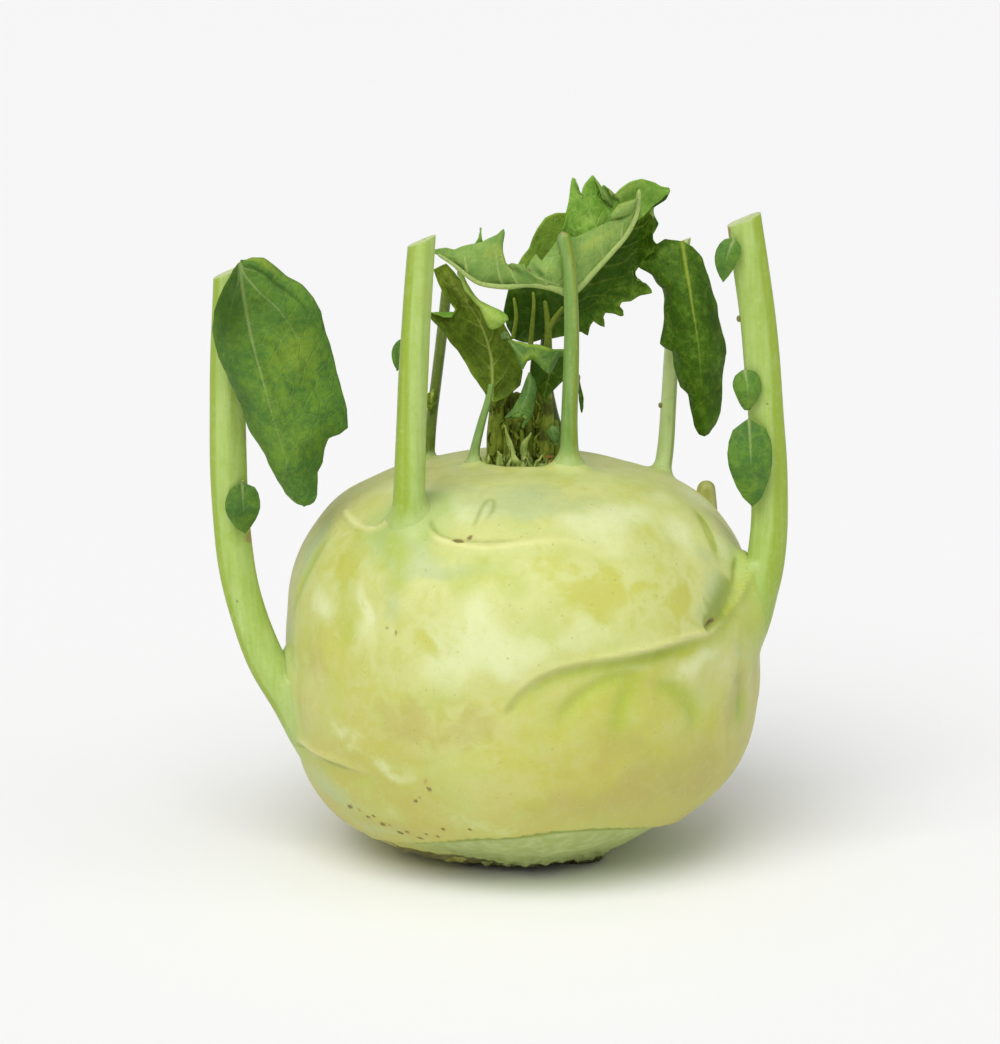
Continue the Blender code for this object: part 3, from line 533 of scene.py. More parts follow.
            (0.45, 0.98, 0.5, 0.18, 0.45), (0.9, 0.0, 0.12, 0.9, 0.6), (0.62, -0.85, 0.2, 0.55, 1.5),
            (0.42, -0.95, 0.12, 0.2, 0.9), (0.85, 0.6, 0.1, 0.5, 0.4),
        ),
        "shade": ((0.15, -0.3, 0.22, 0.7, 1.0), (0.45, 0.1, 0.3, 0.35, 0.8)), "faint": 1.1,
    },
    "inner": {
        "left": (
            (-6.5, 97.4), (-7.7, 99.1), (-9.8, 102.2), (-11.5, 105.6), (-13.1, 108.3), (-14.7, 110.1),
            (-16.2, 112.7), (-19.2, 116.2), (-16, 115), (-14.3, 115.1), (-13.1, 116.9), (-14.3, 118.6),
            (-15.7, 120.2), (-17, 122.6), (-18, 125.3),
        ),
        "rib": (
            (-6.1, 97), (-6.1, 102.7), (-6.3, 106.3), (-7.1, 109.7), (-8.5, 113.3), (-10.4, 116.7),
            (-12.5, 119.7), (-14.7, 123.2), (-16.8, 126.1),
        ),
        "right": (
            (-5.7, 97), (-2.7, 98.2), (-0.2, 100.3), (0.2, 103.3), (-0.4, 106.6), (-1.5, 109.4),
            (-2.9, 111.9), (-4.4, 114), (-6.1, 115.3), (-8.1, 116.8), (-10.2, 118.8), (-12.3, 122),
            (-13.7, 124.4), (-15.5, 126.4),
        ),
        "depth": ("x", (-19, -9), (-10, -5), (-4, -4), (1, -4)), "arch": -1.5, "ruffle": (0.5, 3.0),
        "veins": 6, "lean": 0.35, "shade": ((0.3, -0.5, 0.25, 0.5, 0.8), (0.2, 0.6, 0.2, 0.5, 0.6)),
        "yellow": ((0.8, 0.2, 0.25, 0.6, 0.8),),
    },
    "inner_fold": {
        "left": (
            (-13.2, 126), (-11.7, 124.1), (-10.1, 121.6), (-8.4, 119.1), (-6.7, 117.8), (-4.8, 116.7),
            (-2.6, 115),
        ),
        "right": (
            (-13.4, 125.8), (-12.7, 123.1), (-11.7, 120.4), (-10.3, 118.7), (-8.4, 117.4), (-6.9, 114.9),
            (-6.1, 113.3), (-4.4, 113.8), (-2.6, 114.8),
        ),
        "depth": ("x", (-14, -9), (-8, -8.4), (-2, -7.4)), "arch": 1.0, "ruffle": (0.3, 2.0), "veins": 4,
        "lean": 0.3, "turned": True, "yellow": ((0.5, 0.0, 0.6, 1.2, 1.3),),
    },
    "curled": {
        "left": (
            (-4, 112.4), (-2.8, 111.4), (-0.8, 110.8), (1.5, 110.1), (3.2, 109.7), (5.3, 109), (7.1, 108.4),
            (9.3, 108.2),
        ),
        "right": (
            (-3.8, 112), (-2.7, 109.9), (-1.9, 108.3), (-1.3, 107), (-0.7, 105.8), (0.4, 104.6),
            (1.2, 106.4), (2.2, 106.8), (3.3, 106), (4.5, 104.5), (5.7, 103.2), (6.6, 104.5), (7.6, 106.3),
            (9.3, 107.6),
        ),
        "depth": ("x", (-4, -8.4), (1.5, -9), (4, -7.8), (9.3, -4.5)), "arch": 1.0, "ruffle": (0.5, 3.0),
        "veins": 5, "lean": 0.15, "yellow": ((0.45, 0.2, 0.3, 0.8, 0.9), (0.5, -0.9, 0.5, 0.25, 1.2)),
    },
    "drooping": {
        "left": (
            (1.5, 103.6), (0.4, 100.7), (-0.5, 98.6), (-1.9, 96.2), (-3.9, 93.8), (-2.3, 93.5),
            (-0.7, 94.5), (0.5, 94.4), (0, 92.9), (0.1, 92),
        ),
        "right": ((1.7, 103.6), (2.9, 102), (3.3, 100.1), (2.9, 97.8), (2.7, 95.3), (1.4, 92.7), (0.3, 92)),
        "depth": ("x", (-4, -5.6), (0, -6.3), (3.5, -6.4)), "arch": 0.9, "ruffle": (0.2, 2.0), "veins": 5,
        "lean": 0.3, "shade": ((0.6, 0.9, 0.5, 0.3, 0.4),),
    },
    "centre": {
        "left": ((2.5, 107.2), (2.1, 104.1), (2.5, 100.9), (3.6, 98.3), (4.6, 96.1)),
        "right": ((9.4, 107.1), (9.6, 104.1), (9.4, 101.1), (7.8, 99.5), (6.3, 98), (4.8, 96.1)),
        "depth": ("x", (2, 0), (9.6, 1)), "arch": 1.2, "ruffle": (0.4, 2.0), "veins": 4, "lean": 0.3,
        "shade": ((0.2, -0.4, 0.5, 0.8, 0.8),),
    },
    "crown_side": {
        "left": ((6.3, 91.7), (5.1, 90.5), (5.6, 89.3), (6.5, 88.2), (7.3, 87.3)),
        "right": ((6.4, 91.7), (7.5, 91.4), (8.1, 90.4), (8.2, 88.7), (7.4, 87.3)),
        "depth": ("x", (5, -3), (8.2, -3)), "arch": 0.6, "ruffle": (0.1, 2.0), "veins": 3, "lean": 0.3,
    },
}

# Leaves: their slot, the finishes of front and back, their lobes, and the ribs that stand free.
LEAVES = {
    "leaf_left": {"slot": "leaf_green", "finishes": ("leaf_upper", "leaf_under"), "lobes": ("left",)},
    "leaf_back_right": {
        "slot": "leaf_green", "finishes": ("leaf_upper_deep", "leaf_under"), "lobes": ("back_right",),
    },
    "leaf_middle": {
        "slot": "leaf_pale",
        "strands": (
            (
                (
                    (-17.4, -13, 129.4), (-14.2, -12.3, 127.2), (-10.4, -11.3, 124), (-7.7, -10.4, 122.6),
                    (-3, -9, 121.9), (1.2, -7.6, 122.2), (5.3, -6.4, 121.6), (8, -5.6, 120.6),
                    (9.8, -5, 119.6),
                ),
                (0.35, 0.55, 0.8),
            ),
            (
                (
                    (9.8, -5, 119.6), (12, -3.4, 120.9), (15.1, -1, 123.9), (18.7, 1.2, 127.5),
                    (21.7, 2.9, 130.7), (23.6, 4, 133.9), (24.3, 4.6, 136.4), (24.6, 4.7, 140.5),
                ),
                (0.75, 0.6, 0.5),
            ),
        ),
        "finishes": ("leaf_under", "leaf_bright"),
        "lobes": ("middle", "middle_crest", "middle_flap", "middle_spur"),
    },
    "leaf_back": {
        "slot": "leaf_green",
        "strands": (
            (((5.7, 5.2, 106.1), (5.7, 4.9, 109.7), (5.6, 4.9, 112.4), (5, 5, 117)), (0.9, 0.7, 0.4)),
            (((5.7, 4.7, 111), (7.1, 4.6, 113.4), (8.8, 4.8, 115.7)), (0.6, 0.45, 0.25)),
            (((1.9, 5, 106.1), (2.3, 4.9, 110.7), (2.7, 5, 116.1), (2.5, 5.2, 118.8)), (0.6, 0.5, 0.3)),
            (((-1.7, 5, 108.7), (-1, 4.8, 113.4), (-1.5, 5, 117.6)), (0.5, 0.45, 0.3)),
        ),
        "finishes": ("leaf_upper_deep", "leaf_under"), "lobes": ("back",),
    },
    "leaf_inner_left": {
        "slot": "leaf_green", "finishes": ("leaf_olive", "leaf_bright"), "lobes": ("inner", "inner_fold"),
    },
    "leaf_curled": {"slot": "leaf_pale", "finishes": ("leaf_bluish", "leaf_upper"), "lobes": ("curled",)},
    "leaf_drooping": {
        "slot": "leaf_pale", "finishes": ("leaf_bluish", "leaf_upper"), "lobes": ("drooping",),
    },
    "leaf_centre": {
        "slot": "leaf_green", "finishes": ("leaf_upper_deep", "leaf_bluish"), "lobes": ("centre",),
    },
    "leaf_crown_side": {
        "slot": "leaf_pale", "finishes": ("leaf_bluish", "leaf_upper"), "lobes": ("crown_side",),
    },
}

# Leaflets on the stalks: small oval blades, as the rib from base to tip, the half width, the finish and,
# for some, the strength of the painted shade laid over them.
LEAFLETS = {
    "leaflet_left_low": (
        ((-57.6, -17, 82.6), (-57.2, -18.6, 77.5), (-57, -17.4, 71.6)), 3.6, "leaf_upper", 0.45,
    ),
    "leaflet_front_side": (
        ((-23.4, -24.6, 113.6), (-25.0, -24.8, 110.6), (-25.2, -24.6, 106.9)), 1.5, "leaf_upper",
    ),
    "leaflet_back_left": (
        ((-18.8, 15.4, 95.8), (-19.2, 15.2, 93.4), (-19.2, 15.4, 90.8)), 1.2, "leaf_olive",
    ),
    "leaflet_right_top": (
        ((43.2, -18.6, 133.4), (41.6, -19.6, 129.5), (41, -18.8, 124.2)), 2.4, "leaf_upper",
    ),
    "leaflet_right_middle": (
        ((45.6, -18, 106.2), (46.2, -19.2, 102), (46.2, -18, 97.6)), 2.9, "leaf_upper",
    ),
    "leaflet_right_low": (((46.6, -18, 96), (47, -20, 87.5), (47.6, -18.5, 77.4)), 4.7, "leaf_upper"),
    "leaflet_middle": (((11.7, -4.2, 102.4), (12.3, -4.6, 99), (12.8, -4.2, 94.6)), 0.6, "leaf_upper_deep"),
}


# ---------------------------------------------------------------- measures shared by the pieces


def unit(vectors):
    return vectors / np.maximum(np.linalg.norm(vectors, axis=-1, keepdims=True), 1e-12)


def ease(value, low, high):
    """0 below low, 1 above high and smooth between them; low may be the larger."""
    share = np.clip((np.asarray(value, float) - low) / (high - low), 0.0, 1.0)
    return share * share * (3 - 2 * share)


def faded(along, start, stop, first=0.0, last=1.0):
    """0 at the two ends of a line, first and last, and 1 between its start and stop places."""
    return ease(along, first, start) * ease(along, last, stop)


def bell(distance, width):
    """1 on a line, falling away smoothly beside it."""
    return np.exp(-((distance / width) ** 2))


CLOUD_WAVES = 14
CLOUD_HEIGHT = 3.2  # brings the sum of the waves back to about 1


def cloud(points, size, seed):
    """Smooth random waves of about -1 to 1 over space, with bumps of the given size."""
    random = np.random.default_rng(seed)
    total = np.zeros(len(points))
    for _ in range(CLOUD_WAVES):
        direction = unit(random.normal(size=3))
        wave = 2 * math.pi / (size * random.uniform(1.2, 3.0))
        total += np.sin(points @ direction * wave + random.uniform(0, 2 * math.pi))
    return total / CLOUD_HEIGHT


def spaced(line, count):
    """Points evenly spaced along a line of points."""
    steps = np.linalg.norm(np.diff(line, axis=0), axis=1)
    lengths = np.concatenate([[0.0], np.cumsum(steps)])
    where = np.linspace(0, lengths[-1], count)
    return np.stack([np.interp(where, lengths, line[:, axis]) for axis in range(3)], axis=1)


def smooth_route(points, count):
    """Points evenly spaced along a smooth curve through the given ones."""
    knots = np.array(points, float)
    knots = np.vstack([2 * knots[0] - knots[1], knots, 2 * knots[-1] - knots[-2]])
    t = np.linspace(0, 1, 12, endpoint=False)[:, None]
    fine = [
        0.5 * (2 * start + (end - before) * t)
        + 0.5 * (2 * before - 5 * start + 4 * end - after) * t**2
        + 0.5 * (3 * start - 3 * end + after - before) * t**3
        for before, start, end, after in zip(knots, knots[1:], knots[2:], knots[3:])
    ]
    return spaced(np.vstack([*fine, knots[-2:-1]]), count)


def nearest_on(points, line):
    """For each point its distance to a line, how far along the line (0 to 1) and the step sideways."""
    best = np.full(len(points), np.inf)
    along = np.zeros(len(points))
    side = np.zeros((len(points), 3))
    ahead = np.zeros((len(points), 3))
    for index, (start, end) in enumerate(zip(line, line[1:])):
        span = end - start
        share = np.clip((points - start) @ span / (span @ span), 0, 1)
        gap = points - start - share[:, None] * span
        distance = np.linalg.norm(gap, axis=1)
        closer = distance < best
        best[closer] = distance[closer]
        along[closer] = (index + share[closer]) / (len(line) - 1)
        side[closer] = gap[closer]
        ahead[closer] = span
    return best, along, side, unit(ahead)


def at_thirds(values, along):
    """A value that changes from the first to the second to the third along a line."""
    return np.interp(along, (0.0, 0.5, 1.0), values)


# ---------------------------------------------------------------- meshes


def vectors_of(mesh, key):
    """The places ("co") or the outward directions ("normal") of a mesh's points."""
    flat = np.empty(len(mesh.vertices) * 3)
    mesh.vertices.foreach_get(key, flat)
    return flat.reshape(-1, 3)


def points_of(mesh):
    return vectors_of(mesh, "co") / MM


def normals_of(mesh):
    return vectors_of(mesh, "normal")


def move_to(mesh, points):
    mesh.vertices.foreach_set("co", (points * MM).ravel())
    mesh.update()


def paint(mesh, name, values):
    """Stores one number for each point of the mesh, for a finish to read."""
    made = mesh.attributes.new(name, "FLOAT", "POINT")
    made.data.foreach_set("value", np.asarray(values, np.float32))


def place(vertices, points):
    for vertex, point in zip(vertices, points * MM):
        vertex.co = point


def lay_grid(shape, rows, columns):
    """Adds a grid: its points, and their places along it (0 to 1) and across it (-1 to 1)."""
    made = bmesh.ops.create_grid(shape, x_segments=rows, y_segments=columns, size=1.0)["verts"]
    flat = np.array([vertex.co[:2] for vertex in made])
    return made, (flat[:, 0] + 1) / 2, flat[:, 1]


def follow(route, along, rows):
    """A smooth line through a route, and the point and direction at each place along it."""
    line = smooth_route(route, rows + 1)
    row = np.rint(along * rows).astype(int)
    return line, line[row], unit(np.gradient(line, axis=0))[row]


def face_towards(shape, vertices, direction):
    """Turns a sheet over where it looks away from a direction, and gives its faces."""
    faces = list({face for vertex in vertices for face in vertex.link_faces})
    for face in faces:
        face.normal_update()
    total = sum((face.normal * face.calc_area() for face in faces), Vector())
    if total.dot(direction) < 0:
        bmesh.ops.reverse_faces(shape, faces=faces)
    return faces


def mesh_of(name, shape):
    mesh = bpy.data.meshes.new(name)
    shape.to_mesh(mesh)
    shape.free()
    return mesh


def add_to_scene(name, data):
    """Puts a mesh, a lamp or the camera into the scene."""
    made = bpy.data.objects.new(name, data)
    bpy.context.scene.collection.objects.link(made)
    return made


def settle(name, mesh, finishes, replaced):
    """Makes the object of a mesh, smooth and finished, and fixes it to the frame."""
    mesh.shade_smooth()
    for finish in finishes:
        mesh.materials.append(finish)
    made = add_to_scene(name, mesh)
    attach(made, "root")
    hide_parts(replaced)
    return made


# ---------------------------------------------------------------- finishes


class Value:
    """An output socket of a finish's nodes; arithmetic on it adds Math nodes."""

    def __init__(self, finish, socket):
        self.finish = finish
        self.socket = socket

    def math(self, operation, first, second, clamped=False):
        settings = {"operation": operation, "use_clamp": clamped}
        return self.finish.node("ShaderNodeMath", settings, {0: first, 1: second})

    def __add__(self, other):
        return self.math("ADD", self, other)

    def __sub__(self, other):
        return self.math("SUBTRACT", self, other)

    def __rsub__(self, other):
        return self.math("SUBTRACT", other, self)

    def __mul__(self, other):
        return self.math("MULTIPLY", self, other)

    __radd__ = __add__
    __rmul__ = __mul__

    def clamp(self):
        return self.math("ADD", self, 0.0, clamped=True)

    def ease(self, low, high):
        """0 at low, 1 at high and smooth between them."""
        settings = {"interpolation_type": "SMOOTHSTEP"}
        sockets = {"Value": self, "From Min": low, "From Max": high}
        return self.finish.node("ShaderNodeMapRange", settings, sockets)


class Finish:
    """A material under construction: Object coordinates in, one Principled shader out."""

    def __init__(self, name):
        self.material = bpy.data.materials.new(name)
        self.material.use_nodes = True
        self.tree = self.material.node_tree
        self.shader = self.tree.nodes["Principled BSDF"]
        self.place = self.node("ShaderNodeTexCoord", out="Object")

    def node(self, kind, settings=None, sockets=None, out=0):
        made = self.tree.nodes.new(kind)
        for key, value in (settings or {}).items():
            setattr(made, key, value)
        for key, value in (sockets or {}).items():
            self.feed(made.inputs[key], value)
        return Value(self, made.outputs[out])

    def feed(self, socket, value):
        if isinstance(value, Value):
            self.tree.links.new(value.socket, socket)
        elif socket.type == "RGBA":
            socket.default_value = (*value, 1.0)
        else:
            socket.default_value = value

    def field(self, name):
        """A number stored on the piece's points."""
        return self.node("ShaderNodeAttribute", {"attribute_name": name}, out="Fac")

    def stretched(self, along):
        """Places drawn closer along the upright axis, so that a pattern on them grows longer there."""
        return self.node("ShaderNodeMapping", {}, {"Vector": self.place, "Scale": (1.0, 1.0, along)})

    def noise(self, size, detail=3.0, rough=0.55, warp=0.0, vector=None):
        """Smooth noise of about 0 to 1, with patches of the given size in millimetres."""
        sockets = {
            "Vector": vector or self.place, "Scale": 1 / (size * MM), "Detail": detail, "Roughness": rough,
            "Distortion": warp,
        }
        return self.node("ShaderNodeTexNoise", {}, sockets)

    def cells(self, size, feature="F1", vector=None, out="Distance"):
        sockets = {"Vector": vector or self.place, "Scale": 1 / (size * MM)}
        return self.node("ShaderNodeTexVoronoi", {"feature": feature}, sockets, out)

    def mix(self, share, first, second):
        return self.node("ShaderNodeMix", {"data_type": "RGBA"}, {0: share, 6: first, 7: second}, out=2)

    def coated(self, colour, *coats):
        """A colour with others laid over it in turn, each given as its share and the colour."""
        for share, coat in coats:
            colour = self.mix(share, colour, coat)
        return colour

    def bump(self, height, depth, strength=1.0):
        """A normal raised by the height, where 1 is the depth in millimetres."""
        inputs = {"Height": height, "Distance": depth * MM, "Strength": strength}
        return self.node("ShaderNodeBump", {}, inputs)

    def done(self, colour, roughness, normal, gloss=0.5, glow=0.0, glow_reach=(1.0, 1.0, 1.0)):
        """The finished material; light under the skin has its share and its reach in millimetres."""
        sockets = {
            "Base Color": colour, "Roughness": roughness, "Normal": normal, "Specular IOR Level": gloss,
            "Subsurface Weight": glow, "Subsurface Scale": 1.0,
            "Subsurface Radius": [reach * MM for reach in glow_reach],
        }
        for key, value in sockets.items():
            self.feed(self.shader.inputs[key], value)
        return self.material


SKIN_PALE = (0.61, 0.64, 0.24)
SKIN_WARM = (0.525, 0.485, 0.115)
SKIN_GREEN = (0.50, 0.57, 0.14)
# Pale of the waxy bloom and of the painted highlight.
SKIN_BLOOM_AND_HIGHLIGHT = (0.72, 0.77, 0.42)
# Bluish green; in the angle of the right stalk it is painted shade.
SKIN_COLD = (0.47, 0.56, 0.27)
SKIN_OLIVE = (0.53, 0.53, 0.08)
SKIN_TAN = (0.47, 0.40, 0.11)
# Green of the painted shade in the furrows and below the lips, also of the fibre lines.
GROOVE_SHADE_AND_FIBRE_GREEN = (0.40, 0.49, 0.05)
# Green of the painted shade along creases and under the collar's edge, also of the olive loop mark.
CREASE_SHADE_AND_MARK_GREEN = (0.26, 0.34, 0.05)
# Pale of the lips' crests, partly a painted highlight.
CREST_PALE_AND_HIGHLIGHT = (0.76, 0.76, 0.32)
SEAT_GREEN = (0.42, 0.54, 0.17)
COLLAR_GREEN = (0.34, 0.44, 0.13)
COLLAR_PALE = (0.48, 0.56, 0.24)
# Dark of the painted shade in the crown's recess.
RECESS_SHADE = (0.10, 0.11, 0.02)
CORK = (0.17, 0.13, 0.045)
RUB_BROWN = (0.46, 0.29, 0.05)
CUT_WOOD = (0.20, 0.18, 0.07)
CUT_DARK = (0.10, 0.09, 0.03)


def skin_finish():
    """Waxy pale-green skin with bloom, stains, folds, pores, fibres, scars and the dry cut at the foot, with
    a painted highlight on part of the bloom and the crests, and painted shade in furrows, creases and the
    recess.
    """
    skin = Finish("bulb_skin")
    broad = skin.noise(26, detail=2)
    patchy = skin.noise(10, detail=5, rough=0.62, warp=0.6)
    mid = skin.noise(4.2, detail=4, rough=0.6, warp=0.5)
    fine = skin.noise(1.7, detail=4, rough=0.65)
    grain = skin.noise(0.6, rough=0.7)
    fibres = skin.noise(1.0, vector=skin.stretched(0.1))
    soft = (patchy - 0.5) * 1.1 + (mid - 0.5) * 0.8 + (fine - 0.5) * 0.2
    wander = (patchy - 0.5) + (mid - 0.5) * 0.9 + (fine - 0.5) * 0.55 + (grain - 0.5) * 0.4
    mottle = (fine - 0.5) * 0.6 + (grain - 0.5) * 0.75 + (fibres - 0.5) * 0.1

    warm = (skin.field("warm") + (broad - 0.5) * 0.7 + (mid - 0.5) * 0.4).clamp()
    greener = (patchy + (fine - 0.5) * 0.3).ease(0.42, 0.66)
    duller = (mid + (broad - 0.5) * 0.5 + (grain - 0.5) * 0.3).ease(0.48, 0.72)
    cold = (skin.field("cold") + soft * 0.7).ease(0.15, 0.8)
    bloom_and_highlight = (skin.field("bloom_and_highlight") + soft).ease(0.12, 0.85)
    olive = (skin.field("olive") + wander).ease(0.18, 0.70)
    tan = (skin.field("tan") + wander).ease(0.15, 0.95)
    groove_shade = (skin.field("groove_shade") + (fine - 0.5) * 0.2 + (mid - 0.5) * 0.2).clamp()
    fibre = (skin.field("fibre") + (mid - 0.5) * 0.5).clamp()
    crest = (skin.field("crest") + (fine - 0.5) * 0.3).clamp()
    collar = (skin.field("collar") + (fine - 0.5) * 0.2).clamp()
    banded = skin.mix((mid + (fine - 0.5) * 0.9).ease(0.25, 0.80), COLLAR_GREEN, COLLAR_PALE)
    crease_shade_and_marks = (skin.field("crease_shade_and_marks") + (fine - 0.5) * 0.25).ease(0.45, 0.90)
    rim = (skin.field("rim") + (fine - 0.5) * 0.5 + (grain - 0.5) * 0.4).ease(0.50, 0.85)
    kept = skin.node("ShaderNodeSeparateColor", {}, {"Color": skin.cells(2.1, out="Color")})
    pore = (1 - skin.cells(2.1).ease(0.05, 0.16)) * kept.ease(0.45, 0.6)
    scarred = skin.field("scar")
    scar = (scarred * ((fine + grain) * 1.1)).ease(0.42, 0.80)
    cut = (skin.field("cut") * (0.35 + fine * 0.8 + mid * 0.5)).ease(0.40, 0.70)
    dry = skin.mix(mid.ease(0.38, 0.6), CUT_WOOD, CUT_DARK)
    # Painted light among these coats: part of the bloom is a painted highlight and the pale crests partly
    # one; the furrow and lip shading, the crease lines, the bluish patch in the right stalk's angle and the
    # crown's recess are painted shade.
    colour = skin.coated(
        SKIN_PALE, (warm, SKIN_WARM), (greener * 0.55, SKIN_GREEN), (duller * 0.45, SKIN_OLIVE),
        (cold * 0.85, SKIN_COLD), (bloom_and_highlight * 0.85, SKIN_BLOOM_AND_HIGHLIGHT), (olive * 0.75, SKIN_OLIVE),
        (tan * 0.6, SKIN_TAN), (skin.field("seat").clamp() * 0.9, SEAT_GREEN),
        (groove_shade * 0.85, GROOVE_SHADE_AND_FIBRE_GREEN), (fibre * 0.75, GROOVE_SHADE_AND_FIBRE_GREEN), (crest * 0.85, CREST_PALE_AND_HIGHLIGHT),
        (collar * 0.9, banded), (mottle.clamp() * 0.55, SKIN_BLOOM_AND_HIGHLIGHT), ((0 - mottle).clamp(), SKIN_OLIVE),
        (crease_shade_and_marks * 0.9, CREASE_SHADE_AND_MARK_GREEN), (rim * 0.7, RUB_BROWN), (pore * 0.5, SKIN_TAN),
        (scarred.ease(0.1, 0.9) * 0.45, RUB_BROWN), (scar * 0.85, CORK),
        (skin.field("recess"), RECESS_SHADE), (cut * 0.95, dry),
    )
    height = fine * 0.4 + grain * 0.4 + fibres * 0.1 - pore * 0.5 + scar * 0.6 - crease_shade_and_marks * 1.2 + cut * mid
    roughness = 0.44 + bloom_and_highlight * 0.08 - olive * 0.06 + (fine - 0.5) * 0.15 + scar * 0.3 + cut * 0.4
    return skin.done(colour, roughness.clamp(), skin.bump(height, 0.14, 0.8), 0.32, 0.10, (3.0, 3.0, 1.0))


# Stalk skins: pale and middle colours of the flat sides, and the colour of the painted shade down one
# side, also used for darker streaks and spots.
STALK_FINISHES = {
    "stalk_skin": ((0.46, 0.6, 0.18), (0.35, 0.5, 0.09), (0.29, 0.41, 0.025)),
    "stalk_skin_pale": ((0.54, 0.66, 0.29), (0.42, 0.55, 0.19), (0.24, 0.33, 0.03)),
    "stalk_skin_bluish": ((0.25, 0.4, 0.115), (0.16, 0.29, 0.045), (0.24, 0.31, 0.018)),
    "stalk_skin_yellow": ((0.44, 0.45, 0.13), (0.36, 0.37, 0.09), (0.26, 0.32, 0.05)),
    "stalk_skin_dark": ((0.13, 0.19, 0.03), (0.08, 0.13, 0.012), (0.06, 0.09, 0.006)),
    "stalk_skin_olive": ((0.22, 0.32, 0.06), (0.13, 0.21, 0.025), (0.1, 0.15, 0.01)),
}
STALK_PITH = (0.62, 0.70, 0.36)
STALK_DRY = (0.42, 0.30, 0.13)


def stalk_finish(name, pale, mid, dark):
    """Fibrous stalk skin: pale flat sides, painted shade down one side, fine lengthwise streaks and a few
    specks.
    """
    stalk = Finish(name)
    streaks = stalk.noise(0.9, detail=4, rough=0.6, vector=stalk.stretched(0.045))
    bands = stalk.noise(2.2, vector=stalk.stretched(0.08))
    patchy = stalk.noise(5, detail=4, rough=0.6, warp=0.3)
    fine = stalk.noise(0.8, rough=0.65)
    spotty = stalk.noise(1.9, detail=4, rough=0.6, warp=0.5)
    seat = stalk.field("seat")
    paler = ((bands - 0.5) * 2.2 + (patchy - 0.5) * 1.4 + 0.45).clamp()
    # Painted shade down the side that the "dark" field marks.
    side = (stalk.field("dark") + (streaks - 0.5) * 0.6 + (patchy - 0.5) * 0.5).ease(0.2, 0.75)
    streak = (streaks - 0.5) * 0.7 + (fine - 0.5) * 0.4
    speck = (1 - stalk.cells(4.5).ease(0.04, 0.09)) * patchy.ease(0.5, 0.6) * (1 - seat)
    dry = (stalk.field("dry") + (fine - 0.5) * 0.7).ease(0.3, 0.8)
    scar = (stalk.field("scar") + (fine - 0.5) * 0.5).ease(0.4, 0.7)
    colour = stalk.coated(
        mid, (paler, pale), (side * 0.85, dark), (seat * 0.9, SEAT_GREEN), (streak.clamp(), STALK_PITH),
        ((0 - streak).clamp(), dark), (((0.44 - spotty) * 2.2).clamp() * 0.8, dark),
        (((spotty - 0.54) * 2.2).clamp() * 0.8, pale), (speck * 0.6, CORK), (dry * 0.8, STALK_DRY),
        (scar * 0.85, CORK),
    )
    height = streaks * 0.8 + bands * 0.5 + fine * 0.15
    roughness = 0.44 + (streaks - 0.5) * 0.2 + (patchy - 0.5) * 0.15
    return stalk.done(colour, roughness.clamp(), stalk.bump(height, 0.2, 0.8), 0.35, 0.08, (1.5, 1.5, 0.8))


PITH_GREEN = (0.50, 0.60, 0.26)
PITH_DOTS = (0.36, 0.48, 0.12)


def pith_finish():
    """The pale wet cut across a stalk, with a ring of fibre dots."""
    pith = Finish("stalk_pith")
    dots = pith.cells(0.9)
    fine = pith.noise(1.2, detail=4)
    colour = pith.coated(
        STALK_PITH, (fine, PITH_GREEN), ((1 - dots.ease(0.1, 0.35)) * 0.5, PITH_DOTS),
        (fine.ease(0.55, 0.7) * 0.5, STALK_DRY),
    )
    return pith.done(colour, 0.45, pith.bump(dots * 0.5 + fine * 0.5, 0.15))


# Leaf skins: colour between the veins, its darker and yellower parts, the veins, how far they show, gloss.
# leaf_upper_deep and leaf_olive hold the darker greens of leaves lying in shade behind and inside the
# others, partly painted shade; leaf_bright, on the lit strip of the inner left leaf, is partly painted
# light.
LEAF_FINISHES = {
    "leaf_upper": (
        (0.125, 0.255, 0.027), (0.06, 0.155, 0.028), (0.215, 0.325, 0.036), (0.28, 0.38, 0.12), 0.9, 0.5,
    ),
    "leaf_upper_deep": (
        (0.06, 0.14, 0.004), (0.026, 0.074, 0.001), (0.24, 0.39, 0.045), (0.25, 0.32, 0.04), 1.0, 0.55,
    ),
    "leaf_olive": (
        (0.16, 0.245, 0.01), (0.06, 0.105, 0.003), (0.3, 0.38, 0.05), (0.38, 0.45, 0.1), 1.0, 0.55,
    ),
    "leaf_under": (
        (0.27, 0.41, 0.095), (0.16, 0.3, 0.062), (0.35, 0.44, 0.08), (0.42, 0.52, 0.17), 0.95, 0.55,
    ),
    "leaf_bright": (
        (0.25, 0.465, 0.065), (0.14, 0.3, 0.028), (0.38, 0.53, 0.1), (0.36, 0.52, 0.12), 0.6, 0.48,
    ),
    "leaf_bluish": (
        (0.125, 0.24, 0.045), (0.07, 0.155, 0.034), (0.24, 0.36, 0.04), (0.22, 0.34, 0.11), 0.6, 0.5,
    ),
}
# Colour of the painted shade on the leaves.
LEAF_SHADE = (0.018, 0.052, 0.001)


